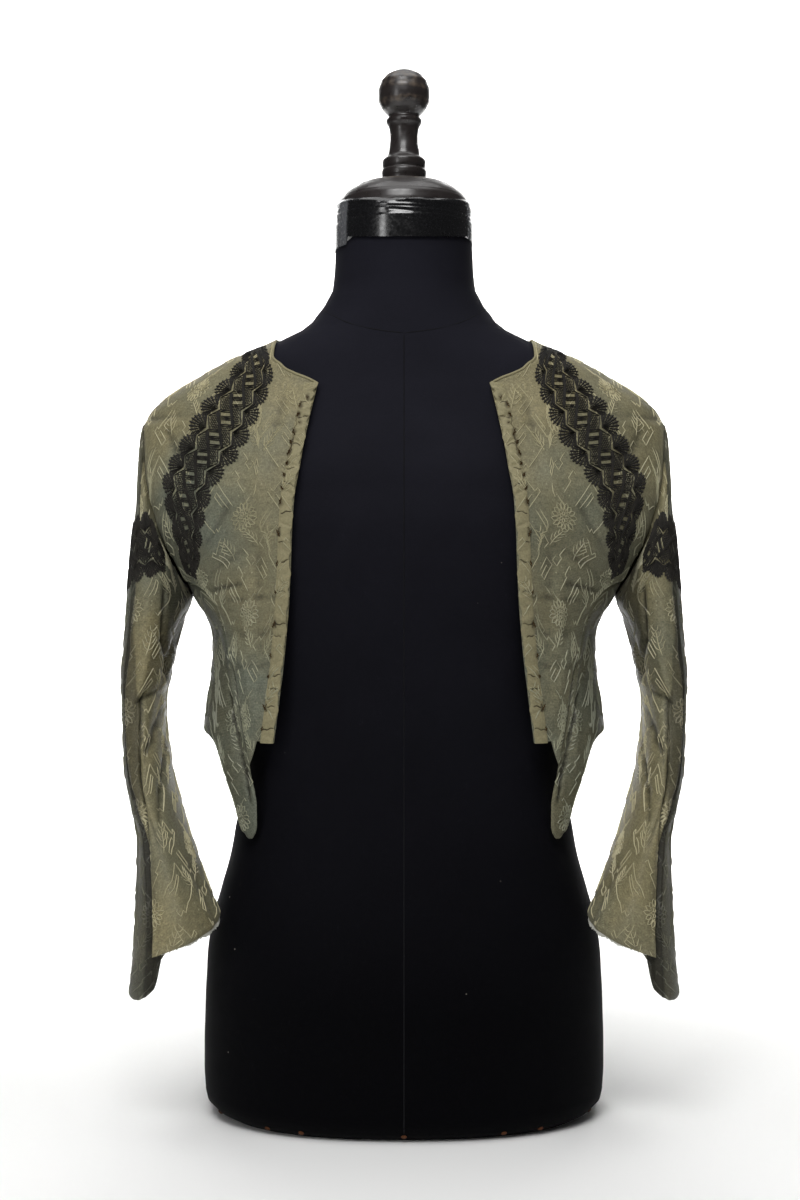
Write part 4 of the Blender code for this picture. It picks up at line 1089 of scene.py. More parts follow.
def silk_panel(name, points, out, cut, shade, sides, zone_shade=0.0):
    """A panel of the figured silk with its lining, for each side that has it."""
    across, up = lengths(points, 0), lengths(points, 1)
    edge = np.minimum(
        np.minimum(across, across[-1:] - across), np.minimum(up, up[:, -1:] - up)
    )
    roll = ROLL_DEPTH * np.clip(1 - edge / ROLL_WIDTH, 0.0, 1.0) ** 2
    outer = points - out * roll[..., None]
    inner = points - out * CLOTH
    faces, slots = shell_faces(*points.shape[:2])
    (raised, raised_faces), raised_at = woven_figure(outer, out, cut)
    body = np.vstack([outer.reshape(-1, 3), inner.reshape(-1, 3), raised])
    start = 2 * outer[..., 0].size
    faces += [tuple(corner + start for corner in face) for face in raised_faces]
    slots += [2] * len(raised_faces)
    flat = np.vstack([cut.reshape(-1, 2), cut.reshape(-1, 2), raised_at[:, :2]])
    # Painted shade: darker where the cloth lies in a hollow and in the zones given, which stand for shade in
    # folds and on parts turned from the light.
    painted_shade = np.maximum(FOLD_SHADE * np.clip(hollows(points, out) / FOLD_DEPTH, 0.0, 1.0), zone_shade).ravel()
    # Painted shadow: the lower edge of each raised float is darkened as if lit from above.
    floats = raised.reshape(-1, 3, 3)
    shadow_edge = FLOAT_SHADOW * unit(floats[:, 2] - floats[:, 0]) @ SHADOW_SIDE
    shadow_edge = np.clip(np.column_stack([-shadow_edge, 0 * shadow_edge, shadow_edge]), 0.0, 1.0).ravel()
    painted_shade = np.concatenate([painted_shade, painted_shade, np.maximum(painted_shade[raised_at[:, 2].astype(int)], shadow_edge)])
    for side, word in sides:
        panel = add_piece(
            name + word + "_silk",
            body * (side, 1, 1),
            faces,
            [silk, lining_cotton, figure_silk],
            slots,
            flat,
            {"shade": shade(body), "painted_shade": painted_shade},
        )
        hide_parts(name + word)


BOTH = ((1, "_left"), (-1, "_right"))
front_turns = np.linspace(0, UNDERARM[0], HOLE_STEPS * FINER + 1)
back_turns = np.linspace(UNDERARM[1], 360, HOLE_STEPS * FINER + 1)
front_hole = armhole_line(front_turns[::-1])
side_seam = spaced(SIDE_SEAM, even(SEAM_STEPS * FINER), (front_hole[:1],))
neck_end = np.array([[smooth(NECK_POINT, BODY["height"], BODY["half_width"]), NECK_POINT]])
front_neck = spaced(FRONT_NECK, even(NECK_STEPS * FINER), (neck_end,))
ridge = np.linspace(NECK_POINT, ARMHOLE_TOP, SHOULDER_STEPS * FINER + 1)
shoulder = np.column_stack([smooth(ridge, BODY["height"], BODY["half_width"]), ridge])
front_hem = spaced(FRONT_HEM, even(HEM_STEPS * FINER))
front_notch = spaced(FRONT_NOTCH, even(NOTCH_STEPS * FINER))
front_outer = np.vstack([side_seam[:-1], front_hole])
front_rows = (front_outer[:, 1] - front_outer[0, 1]) / np.ptp(front_outer[:, 1])
front_grid = patch(
    np.vstack([front_hem[:-1], front_notch]),
    np.vstack([front_neck[:-1], shoulder]),
    spaced(FRONT_EDGE, front_rows),
    front_outer,
    front_rows,
)
front_points, front_out = body_surface(
    turn_of(front_grid[..., 0], front_grid[..., 1]), front_grid[..., 1]
)


BROWN_ABOVE = 0.60
GREY_OVER = 0.26
LOW_GREY = 0.75
ASIDE_FROM = 0.115
ASIDE_OVER = 0.06
ASIDE_GREY = 0.35
ASIDE_LOWER = 3  # the sides begin to grey so much sooner than the front


def body_shade(points):
    """The body is browner at the chest and greyer towards the waist and the sides, partly a real shift of
    colour and partly painted shade where the light falls off.
    """
    low = np.clip((BROWN_ABOVE - points[:, 2]) / GREY_OVER, 0.0, 1.0)
    aside = np.clip((np.abs(points[:, 0]) - ASIDE_FROM) / ASIDE_OVER, 0.0, 1.0)
    aside = aside * np.clip(low * ASIDE_LOWER, 0.0, 1.0)
    return np.clip(LOW_GREY * low + ASIDE_GREY * aside, 0.0, 1.0)


front_cut = np.stack(
    [
        lengths(front_points, 0) + front_grid[:1, :, 0],
        lengths(front_points, 1) + front_grid[:, :1, 1],
    ],
    axis=-1,
)
silk_panel("front", front_points, front_out, front_cut, body_shade, BOTH)


# Side panels: the same silk under each arm, seamed to the front and the back, each
# running down into a rounded tail in front of the hip.
TAIL_FRONT = table(
    "x height",
    (0.1213, 0.2405),
    (0.1200, 0.2480),
    (0.1200, 0.2590),
    (0.1212, 0.2730),
    (0.1247, 0.2865),
    (0.1265, 0.2954),
)
TAIL_HEM = table(
    "x height",
    (0.1213, 0.2405),
    (0.1257, 0.2357),
    (0.1310, 0.2395),
    (0.1365, 0.2520),
    (0.1415, 0.2720),
    (0.1500, 0.2960),
    (0.1675, 0.3185),
)
BACK_SEAM = table(
    "x height",
    (0.1400, 0.3150),
    (0.1405, 0.3450),
    (0.1460, 0.3850),
    (0.1580, 0.4200),
    (0.1720, 0.4400),
)
TAIL_STEPS = 4
BACK_SEAM_STEPS = TAIL_STEPS + SEAM_STEPS
SIDE_SHADE = 0.6  # painted shade under the arm, and how far it reaches round the side
SIDE_REACH = 0.55


def on_body(outline, back=False):
    """Outline rows as turn and height on the body."""
    return np.column_stack([turn_of(outline[:, 0], outline[:, 1], back), outline[:, 1]])


def armhole_turns(degrees):
    """The armhole as turn and height on the body."""
    line = armhole_line(degrees)
    ahead = np.sin(np.radians(np.asarray(degrees, float))) >= 0
    front, back = turn_of(line[:, 0], line[:, 1]), turn_of(line[:, 0], line[:, 1], back=True)
    return np.column_stack([np.where(ahead, front, back), line[:, 1]])


back_hole = armhole_line(back_turns)
side_front = np.vstack([spaced(TAIL_FRONT, even(TAIL_STEPS * FINER))[:-1], side_seam])
back_seam = spaced(BACK_SEAM, even(BACK_SEAM_STEPS * FINER), (back_hole[:1],))
side_back = on_body(back_seam, back=True)
tail_hem = on_body(np.column_stack([TAIL_HEM["x"], TAIL_HEM["height"]]))
hem_knots = np.vstack([tail_hem[:-1], np.linspace(tail_hem[-1], side_back[0], 3)])
hem_steps = np.linspace(0, len(hem_knots) - 1, HEM_STEPS * FINER + 1)
side_hem = np.column_stack(
    [smooth(hem_steps, np.arange(len(hem_knots), dtype=float), hem_knots[:, k]) for k in (0, 1)]
)
side_grid = patch(
    side_hem,
    armhole_turns(np.linspace(*UNDERARM, HEM_STEPS * FINER + 1)),
    on_body(side_front),
    side_back,
    even(BACK_SEAM_STEPS * FINER),
)
side_points, side_out = body_surface(side_grid[..., 0], side_grid[..., 1])
side_cut = np.stack(
    [
        lengths(side_points, 0) + side_points[:1, :, 0],
        lengths(side_points, 1) + side_grid[:, :1, 1],
    ],
    axis=-1,
)
# Painted shade on the side of the body, which is turned from the light.
side_zone_shade = SIDE_SHADE * np.exp(-((side_grid[..., 0] / SIDE_REACH) ** 2))
silk_panel("side", side_points, side_out, side_cut, body_shade, BOTH, side_zone_shade)

# Back: one panel from the neck to the hip, a little hollow at the waist, where the cloth
# falls into slack folds.
BACK_NECK_RISE = 0.0220
BACK_NECK_CURVE = 1.4
BACK_HEM_DIP = 0.0100
BACK_STEPS = SHOULDER_STEPS + NECK_STEPS
BACK_CREASES = table(
    "x_top z_top x_low z_low depth spread",
    (0.1480, 0.4450, 0.0700, 0.4150, 0.0018, 0.0060),
    (-0.1500, 0.4380, -0.0820, 0.3990, 0.0020, 0.0065),
    (0.0450, 0.4300, -0.0350, 0.4240, 0.0014, 0.0050),
    (0.0900, 0.3950, 0.0200, 0.3860, 0.0013, 0.0055),
    (-0.0250, 0.3950, -0.0900, 0.3880, 0.0015, 0.0050),
    (0.0600, 0.4100, 0.0720, 0.3180, 0.0016, 0.0070),
    (-0.0520, 0.4050, -0.0680, 0.3200, -0.0014, 0.0065),
    (0.1550, 0.5450, 0.0900, 0.4850, 0.0014, 0.0075),
    (-0.1600, 0.5500, -0.0950, 0.4950, 0.0016, 0.0080),
    (0.1700, 0.4900, 0.1150, 0.4650, 0.0012, 0.0050),
    (-0.1720, 0.4850, -0.1180, 0.4550, 0.0013, 0.0055),
    (0.0120, 0.5900, 0.0080, 0.4800, -0.0008, 0.0080),
    (0.1150, 0.4000, 0.1180, 0.3300, 0.0012, 0.0045),
    (-0.1130, 0.4080, -0.1210, 0.3250, 0.0014, 0.0050),
    (0.0000, 0.3650, -0.0060, 0.3120, 0.0010, 0.0045),
)
neck_turns = np.linspace(0.0, -math.pi / 2, NECK_STEPS * FINER + 1)
neck_heights = NECK_POINT + BACK_NECK_RISE * np.sin(-neck_turns) ** BACK_NECK_CURVE
back_neck = body_plain(neck_turns, neck_heights)[:, (0, 2)]
hem_share = even(BACK_STEPS * FINER)
back_hem = np.column_stack(
    [back_seam[0, 0] * (1 - hem_share), back_seam[0, 1] - BACK_HEM_DIP * hem_share**2]
)
back_top = np.vstack([shoulder[::-1][:-1], back_neck])
back_side = np.vstack([back_seam[:-1], back_hole])
back_rows = (back_side[:, 1] - back_side[0, 1]) / np.ptp(back_side[:, 1])
over = (-1, 1)
back_grid = patch(
    np.vstack([back_hem, (back_hem * over)[::-1][1:]]),
    np.vstack([back_top, (back_top * over)[::-1][1:]]),
    back_side,
    back_side * over,
    back_rows,
)
back_points, back_out = body_surface(
    turn_of(back_grid[..., 0], back_grid[..., 1], back=True), back_grid[..., 1], BACK_CREASES, -1
)
back_along = lengths(back_points, 0)
back_cut = np.stack(
    [
        back_along - back_along[BACK_STEPS * FINER],
        lengths(back_points, 1) + back_grid[:, :1, 1],
    ],
    axis=-1,
)
silk_panel("back", back_points, back_out, back_cut, body_shade, ((1, ""),))

# Sleeves: two halves of the silk each, set into the armhole and bent at the elbow, with a
# slanted cuff in front and a rounded tongue over the hand behind.
ARMHOLE_GAP = 0.0005
BLEND_SECTIONS = 2.2
SLEEVE = table(
    "outer_x outer_z inner_x inner_z middle_y depth bow",
    (0.2185, 0.5810, 0.1785, 0.4350, 0.0000, 0.0540, 0.011),
    (0.2228, 0.5530, 0.1790, 0.4325, 0.0000, 0.0570, 0.008),
    (0.2240, 0.5200, 0.1800, 0.4295, -0.0010, 0.0590, 0.005),
    (0.2283, 0.4820, 0.1820, 0.4250, -0.0020, 0.0605, 0.003),
    (0.2325, 0.4320, 0.1865, 0.4130, -0.0030, 0.0605, 0.001),
    (0.2358, 0.3880, 0.1935, 0.3860, -0.0050, 0.0590, 0.000),
    (0.2373, 0.3640, 0.1980, 0.3640, -0.0070, 0.0575, 0.000),
    (0.2355, 0.3430, 0.2010, 0.3430, -0.0110, 0.0565, 0.000),
    (0.2325, 0.2980, 0.1955, 0.3010, -0.0240, 0.0545, 0.000),
    (0.2255, 0.2660, 0.1850, 0.2640, -0.0380, 0.0520, 0.000),
    (0.2165, 0.2296, 0.1720, 0.2296, -0.0530, 0.0490, 0.000),
    (0.2155, 0.1976, 0.1565, 0.1930, -0.0670, 0.0460, 0.000),
    (0.2160, 0.1740, 0.1480, 0.1740, -0.0740, 0.0445, 0.000),
    (0.2175, 0.1550, 0.1430, 0.1570, -0.0750, 0.0440, 0.000),
    (0.2208, 0.1216, 0.1370, 0.1280, -0.0750, 0.0430, 0.000),
    (0.2225, 0.1000, 0.1340, 0.1100, -0.0750, 0.0430, 0.000),
)
CUFF = table(
    "turn height", (60, 0.1477), (90, 0.1550), (135, 0.1660), (180, 0.1735), (210, 0.1720), (420, 0.1477)
)
TONGUE = table(
    "turn height",
    (210, 0.1695),
    (250, 0.1635),
    (270, 0.1580),
    (285, 0.1490),
    (300, 0.1350),
    (315, 0.1230),
    (330, 0.1165),
    (345, 0.1150),
    (360, 0.1132),
    (372, 0.1114),
    (384, 0.1112),
    (396, 0.1118),
    (408, 0.1146),
    (418, 0.1215),
    (428, 0.1440),
)
# Creases by section and turn at both ends, depth (a ridge if below 0) and half width
SLEEVE_CREASES = table(
    "section_top turn_top section_low turn_low depth spread",
    (4.7, 75.0, 7.2, 95.0, 0.0035, 0.0110),
    (6.0, 130.0, 7.6, 76.0, 0.0030, 0.0090),
    (8.0, 110.0, 11.5, 140.0, 0.0014, 0.0180),
    (3.5, 250.0, 7.0, 300.0, 0.0030, 0.0120),
    (2.8, 119.0, 4.8, 134.0, 0.0036, 0.0022),
    (4.5, 128.0, 6.3, 180.0, 0.0040, 0.0024),
    (6.4, 122.0, 8.7, 86.0, 0.0042, 0.0020),
    (8.2, 95.0, 10.3, 56.0, 0.0042, 0.0020),
    (3.6, 178.0, 6.8, 150.0, 0.0030, 0.0040),
    (4.4, 110.0, 7.4, 100.0, -0.0024, 0.0050),
    (7.1, 165.0, 8.3, 84.0, 0.0032, 0.0034),
    (7.7, 172.0, 9.4, 108.0, 0.0026, 0.0030),
    (6.5, 150.0, 7.1, 66.0, 0.0024, 0.0028),
    (8.2, 74.0, 10.0, 96.0, 0.0018, 0.0034),
    (4.2, 54.0, 8.8, 66.0, -0.0018, 0.0050),
    (9.3, 60.0, 13.0, 70.0, 0.0018, 0.0040),
    (10.2, 150.0, 13.2, 165.0, 0.0020, 0.0045),
    (9.8, 98.0, 13.4, 106.0, -0.0018, 0.0060),
    (5.0, 318.0, 7.6, 346.0, 0.0028, 0.0045),
    (7.0, 350.0, 10.6, 332.0, 0.0024, 0.0045),
    (8.4, 238.0, 10.4, 292.0, 0.0028, 0.0060),
    (6.2, 262.0, 8.0, 322.0, 0.0026, 0.0045),
    (10.0, 352.0, 13.4, 346.0, 0.0018, 0.0035),
    (4.0, 368.0, 8.2, 376.0, 0.0022, 0.0040),
    (9.0, 372.0, 13.0, 378.0, -0.0016, 0.0040),
    (11.0, 300.0, 13.6, 318.0, 0.0022, 0.0050),
    (5.6, 222.0, 8.6, 246.0, 0.0022, 0.0050),
)
SLEEVE_DEGREE = 0.00048  # cloth for one degree round the arm
SECTION_STEP = 0.06
DEGREE_STEP = 1.5
COUNTED_ON = 45  # turns below this are counted on past a full turn
HELD_UPPER = (1.5, 2.0)  # over the shoulder the sleeve leaves the seam in line with the body


def sleeve_plain(section, degrees):
    """Sleeve without creases: the armhole at section 0, slanted ovals below it."""
    section = np.clip(section, 0.0, len(SLEEVE["depth"]) - 1.0)
    rows = np.arange(len(SLEEVE["depth"]), dtype=float)
    at = {name: smooth(section, rows, column) for name, column in SLEEVE.items()}
    angle = np.radians(degrees)
    share = (1 + np.cos(angle)) / 2
    x = at["inner_x"] + (at["outer_x"] - at["inner_x"]) * share + at["bow"] * np.sin(angle) ** 2
    z = at["inner_z"] + (at["outer_z"] - at["inner_z"]) * share
    y = at["middle_y"] - at["depth"] * np.sin(angle)
    hole = armhole_turns(np.ravel(degrees))
    seam = body_plain(hole[:, 0], hole[:, 1]).reshape(np.shape(degrees) + (3,))
    ease = np.clip(section / BLEND_SECTIONS, 0.0, 1.0)
    ease = (ease * ease * (3 - 2 * ease))[..., None]
    return seam * (1 - ease) + np.stack([x, y, z], axis=-1) * ease + (ARMHOLE_GAP, 0.0, 0.0)


def sleeve_surface(section, degrees):
    """Outer face of a sleeve with its creases, and its outward direction."""
    points = sleeve_plain(section, degrees)
    low = sleeve_plain(np.maximum(section - SECTION_STEP, 0.0), degrees)
    high = sleeve_plain(section + SECTION_STEP, degrees)
    around = sleeve_plain(section, degrees + DEGREE_STEP) - sleeve_plain(section, degrees - DEGREE_STEP)
    out = unit(np.cross(around, high - low))
    hole = armhole_turns(np.ravel(degrees))
    seam_out = normal_of(body_plain, hole[:, 0], hole[:, 1]).reshape(out.shape)
    upper = np.clip(HELD_UPPER[0] + HELD_UPPER[1] * np.cos(np.radians(degrees)), 0.0, 1.0)
    keep = (np.clip(1.0 - section, 0.0, 1.0) * upper)[..., None]
    out = unit(out * (1 - keep) + seam_out * keep)
    round_arm = np.where(degrees < COUNTED_ON, degrees + 360, degrees) * SLEEVE_DEGREE
    ends = []
    for end in ("top", "low"):
        turn = SLEEVE_CREASES["turn_" + end]
        height = sleeve_plain(SLEEVE_CREASES["section_" + end], turn)[:, 2]
        ends.append(np.column_stack([turn * SLEEVE_DEGREE, height]))
    sink = sinking(np.stack([round_arm, points[..., 2]], axis=-1), np.stack(ends, axis=1), SLEEVE_CREASES)
    return points - out * sink[..., None], out


def section_at(degrees, height):
    """Section number where a sleeve line at this turn passes a height."""
    sections = np.linspace(0.0, len(SLEEVE["depth"]) - 1.0, CURVE_STEPS)
    found = []
    for turn, wanted in zip(np.ravel(degrees), np.ravel(height)):
        heights = sleeve_plain(sections, np.full(len(sections), turn))[:, 2]
        found.append(np.interp(-wanted, -heights, sections))
    return np.array(found).reshape(np.shape(degrees))


SLEEVE_ROWS = 100
TONGUE_ROWS = 12
# The back half is greyer and darker than the front: partly a real shift of colour, partly painted shade on
# the side turned from the light.
SLEEVE_SHADE = {"sleeve_front": 0.10, "sleeve_back": 0.75}
# The front half is lit between these turns; beyond them it gets painted shade
SLEEVE_LIT = table(
    "section outer inner",
    (0.0, 60, 118),
    (3.0, 66, 122),
    (4.5, 72, 129),
    (5.0, 77, 148),
    (6.2, 92, 180),
    (6.9, 114, 215),
    (7.8, 106, 215),
    (8.5, 90, 215),
    (9.2, 69, 215),
    (9.9, 57, 215),
    (15.0, 54, 215),
)
SLEEVE_ZONE_SHADE = 0.62
ZONE_SHADE_MOST = 1.5
LIT_EDGE = 6
# Parts of the back half that get painted shade: from this turn on, over so many degrees
OUTER_DARK = (330, 40)
INNER_DARK = (245, 25)
INNER_LIT = 200  # where the front half is lit only up to a turn below this, the inside of the back half gets painted shade too
# Painted shade in the dip along the seam, where the back half runs under the front half.
SEAM_DARK = (408, 4)
SEAM_SECTIONS = (2, 3)
SEAM_SHARE = 0.5
SHOULDER_SHADE = 0.6
# The upper sleeve is greyer from the first height up, the shoulder browner from the second
SLEEVE_TONES = (0.36, 0.48)
TONE_OVER = 0.1
UPPER_GREY = 0.35
SHOULDER_BROWN = 0.70
SLEEVE_TURNS = {
    "sleeve_front": np.linspace(60, 210, 64),
    "sleeve_back": np.concatenate([np.linspace(210, 412, 80), np.linspace(413, 428, 16)]),
}
TUCK = (413.5, 418.0)  # between these turns the back half dips, to run on under the front half
TUCK_DEPTH = 0.0050
for half, turns in SLEEVE_TURNS.items():
    ends = section_at(turns, np.interp(turns, CUFF["turn"], CUFF["height"]))
    sections = even(SLEEVE_ROWS)[None] * ends[:, None]
    if half == "sleeve_back":
        tips = section_at(turns, smooth(turns, TONGUE["turn"], TONGUE["height"]))
        below = ends[:, None] + even(TONGUE_ROWS)[None, 1:] * (tips - ends)[:, None]
        sections = np.hstack([sections, below])
    degrees = np.repeat(turns[:, None], sections.shape[1], axis=1)
    points, out = sleeve_surface(sections, degrees)
    dip = np.clip((degrees - TUCK[0]) / (TUCK[1] - TUCK[0]), 0.0, 1.0) * np.clip(sections, 0.0, 1.0)
    points = points - out * (TUCK_DEPTH * dip)[..., None]
    cut = np.stack([lengths(points, 0), -lengths(points, 1) + points[:, :1, 2]], axis=-1)
    outer, inner = (
        np.interp(sections, SLEEVE_LIT["section"], SLEEVE_LIT[edge]) for edge in ("outer", "inner")
    )
    if half == "sleeve_back":
        inside = (INNER_DARK[0] - degrees) / INNER_DARK[1] * (inner < INNER_LIT)
        dark = np.clip(np.maximum((degrees - OUTER_DARK[0]) / OUTER_DARK[1], inside), 0.0, 1.0)
        seam = SEAM_SHARE * np.clip((degrees - SEAM_DARK[0]) / SEAM_DARK[1], 0.0, 1.0)
        dark = dark + seam * np.clip((sections - SEAM_SECTIONS[0]) / SEAM_SECTIONS[1], 0.0, 1.0)
    else:
        dark = np.minimum(np.maximum(outer - degrees, degrees - inner) / LIT_EDGE, 1.0)
    # Painted shade where the sleeve turns from the light or lies set back, and round the armhole.
    zone_shade = SLEEVE_ZONE_SHADE * np.clip(np.maximum(dark, SHOULDER_SHADE - sections), 0.0, ZONE_SHADE_MOST)

    def sleeve_shade(points, base=SLEEVE_SHADE[half]):
        """The upper sleeve is greyer than the forearm, and browner again at the shoulder."""
        upper, top = (np.clip((points[:, 2] - low) / TONE_OVER, 0.0, 1.0) for low in SLEEVE_TONES)
        return base + UPPER_GREY * upper - SHOULDER_BROWN * top

    silk_panel(half, points, out, cut, sleeve_shade, BOTH, zone_shade)


# Cuff lining: the cotton lining was cut a little longer than the silk of the front half
# and has frayed to a pale ragged edge.
LINING_TURNS = np.linspace(62, 204, 260)
LINING_WIDTH = 0.0090
LINING_ROWS = 6
LINING_CLOTH = 0.0006
FRAY_UNEVEN = 0.0006
# How far the frayed edge hangs out, by turn
FRAY = table(
    "turn length",
    (62, -0.0010),
    (84, 0.0006),
    (96, 0.0004),
    (112, 0.0022),
    (124, 0.0011),
    (138, 0.0026),
    (151, 0.0014),
    (168, 0.0024),
    (181, 0.0008),
    (204, -0.0010),
)
fray_noise = np.random.default_rng(5)
pale_cotton, tree, shader = start_material(
    "pale cotton lining, frayed", Roughness=0.9, Specular_IOR_Level=0.15
)
place = node(tree, "ShaderNodeTexCoord").outputs["Object"]
weave = node(
    tree, "ShaderNodeTexNoise", {"Vector": place, "Scale": 1000 / CREPE_MM, "Detail": 3.0}
).outputs["Fac"]
bleached = node(
    tree, "ShaderNodeMix", {0: weave, 6: linear("#96958a"), 7: linear("#d8d7cf")}, data_type="RGBA"
).outputs[2]
wire(tree, shader, Base_Color=bleached)

cuff_height = np.interp(LINING_TURNS, CUFF["turn"], CUFF["height"])
ragged = smooth(LINING_TURNS, FRAY["turn"], FRAY["length"])
ragged = ragged + FRAY_UNEVEN * fray_noise.standard_normal(len(LINING_TURNS)) * (ragged > 0)
lining_height = cuff_height[:, None] + LINING_WIDTH - (LINING_WIDTH + ragged)[:, None] * even(LINING_ROWS)
lining_turn = LINING_TURNS[:, None] + 0 * lining_height
lining_points, lining_out = sleeve_surface(section_at(lining_turn, lining_height), lining_turn)
lining_outer = lining_points - lining_out * (CLOTH + SEAM / 2)
lining_inner = lining_outer - lining_out * LINING_CLOTH
lining_faces, _ = shell_faces(*lining_points.shape[:2])
for side, word in BOTH:
    lining = add_piece(
        "cuff_lining" + word,
        np.vstack([lining_outer.reshape(-1, 3), lining_inner.reshape(-1, 3)]) * (side, 1, 1),
        lining_faces,
        [pale_cotton],
    )

# Placket: a folded silk strip down each front edge, sewn over the hook tape. The wire
# hooks under it have rusted through, so it is puckered and torn at each of them.
PLACKET_WIDTH = 0.0105
STRIP = 0.0012
STRIP_LIFT = 0.0004
STRIP_SWELL = (0.12, 0.80)  # the puckers are fullest in the middle of the strip
EDGE_SINK = 0.0008
FIGURE_SHIFT = 0.035
RUST_REACH = 0.0024
RUST_ALONG = 0.8
RUST_MOST = 0.7
STRIP_COLUMNS = 14
STRIP_ROWS = 560
# Hooks up the strip: height, place across it, length, tilt, way of bending and rust round it
HOOKS = table(
    "height across length tilt bend rust",
    (0.3270, 0.97, 0.0040, 18, 1, 0.5),
    (0.3445, 0.99, 0.0052, -22, 0, 0.9),
    (0.3690, 0.97, 0.0034, 40, 2, 0.6),
    (0.3857, 0.99, 0.0046, -14, 1, 0.7),
    (0.4105, 0.95, 0.0052, 25, 0, 0.8),
    (0.4362, 0.99, 0.0036, -30, 2, 0.7),
    (0.4590, 0.97, 0.0046, 12, 1, 0.6),
    (0.4832, 0.98, 0.0056, -18, 0, 0.8),
    (0.5080, 0.96, 0.0058, 22, 1, 0.9),
    (0.5185, 0.97, 0.0040, -35, 1, 0.8),
    (0.5290, 0.98, 0.0044, -26, 2, 0.8),
    (0.5385, 0.96, 0.0042, 10, 2, 0.9),
    (0.5475, 0.94, 0.0060, 30, 0, 1.0),
    (0.5560, 0.93, 0.0050, -40, 2, 0.9),
    (0.5640, 0.90, 0.0062, -12, 1, 1.0),
    (0.5720, 0.62, 0.0034, -48, 2, 0.8),
    (0.5785, 0.88, 0.0050, 42, 1, 1.0),
    (0.5868, 0.86, 0.0052, 26, 0, 1.0),
    (0.5935, 0.48, 0.0046, -35, 2, 0.9),
)
# Cracked folds across the strip: height, where they start and end across it, and slant
CRACKS = table(
    "height start end slant",
    (0.3268, -0.05, 1.05, -0.0020),
    (0.3450, 0.15, 0.90, -0.0016),
    (0.3592, 0.05, 1.00, 0.0012),
    (0.3695, -0.05, 0.70, -0.0024),
    (0.4010, 0.20, 1.05, 0.0026),
    (0.4110, -0.05, 0.95, -0.0010),
    (0.4368, 0.10, 1.00, 0.0018),
    (0.4602, -0.05, 0.80, -0.0030),
    (0.4755, 0.30, 1.05, 0.0014),
    (0.4990, -0.05, 0.95, -0.0022),
    (0.5215, -0.05, 1.00, 0.0040),
    (0.5340, 0.25, 1.05, -0.0016),
    (0.5540, 0.10, 0.85, 0.0030),
    (0.5765, -0.05, 0.90, -0.0026),
    (0.5890, 0.20, 1.05, 0.0016),
)
CRACK_DEPTH = 0.0010
CRACK_HALF = 0.00042
CRACK_WANDER = 0.0005
CRACK_WAVES = (11, 900)  # how fast a crack wanders across the strip, and by its height
CRACK_FADE = 6
# Tears down the seam: from one height to another
TEARS = table("low high", (0.3400, 0.3475), (0.4075, 0.4150), (0.4790, 0.4880), (0.5450, 0.5760))
TEAR_HALF = 0.00040
TEAR_FADE = 0.001
TEAR_MIDDLE = 0.88
TEAR_WAVES = ((0.07, 0.0016), (0.04, 0.0007))
# Nicks in the edge: height, depth and half height
NICKS = table(
    "height depth half",
    (0.5985, 0.0022, 0.0020),
    (0.5905, 0.0012, 0.0014),
    (0.5730, 0.0008, 0.0040),
    (0.5390, 0.0007, 0.0030),
    (0.5080, 0.0008, 0.0050),
    (0.4620, 0.0006, 0.0040),
    (0.4230, 0.0007, 0.0030),
    (0.3840, 0.0006, 0.0030),
    (0.3560, 0.0006, 0.0022),
)
# Puckers across the strip: height, slant, depth (a ridge if below 0) and half width
PUCKERS = table(
    "height slant depth spread",
    (0.3215, 0.0010, 0.0006, 0.0016),
    (0.3330, -0.0020, -0.0008, 0.0022),
    (0.3405, 0.0012, 0.0009, 0.0014),
    (0.3520, 0.0024, -0.0007, 0.0020),
    (0.3618, -0.0014, 0.0008, 0.0016),
    (0.3725, 0.0020, -0.0009, 0.0024),
    (0.3800, -0.0022, 0.0008, 0.0013),
    (0.3925, 0.0016, -0.0008, 0.0022),
    (0.4020, -0.0010, 0.0009, 0.0016),
    (0.4160, 0.0022, -0.0010, 0.0020),
    (0.4248, -0.0024, 0.0008, 0.0015),
    (0.4330, 0.0012, -0.0007, 0.0018),
    (0.4435, 0.0026, 0.0009, 0.0017),
    (0.4545, -0.0018, -0.0009, 0.0024),
    (0.4690, 0.0014, 0.0008, 0.0018),
    (0.4768, -0.0022, -0.0008, 0.0018),
    (0.4895, 0.0020, 0.0010, 0.0016),
    (0.4985, -0.0012, -0.0009, 0.0022),
    (0.5150, 0.0028, 0.0011, 0.0018),
    (0.5235, -0.0020, -0.0009, 0.0018),
    (0.5370, 0.0016, 0.0011, 0.0016),
    (0.5440, -0.0026, -0.0010, 0.0020),
    (0.5565, 0.0022, 0.0012, 0.0015),
    (0.5660, -0.0018, -0.0011, 0.0018),
    (0.5770, 0.0024, 0.0012, 0.0016),
    (0.5825, -0.0020, -0.0010, 0.0016),
    (0.5905, 0.0014, 0.0012, 0.0014),
    (0.5990, -0.0016, -0.0010, 0.0018),
)
EDGE_WAVES = table("length depth start", (0.0217, 0.0005, 0.3), (0.0091, 0.0003, 1.1), (0.0531, 0.0003, 2.0))

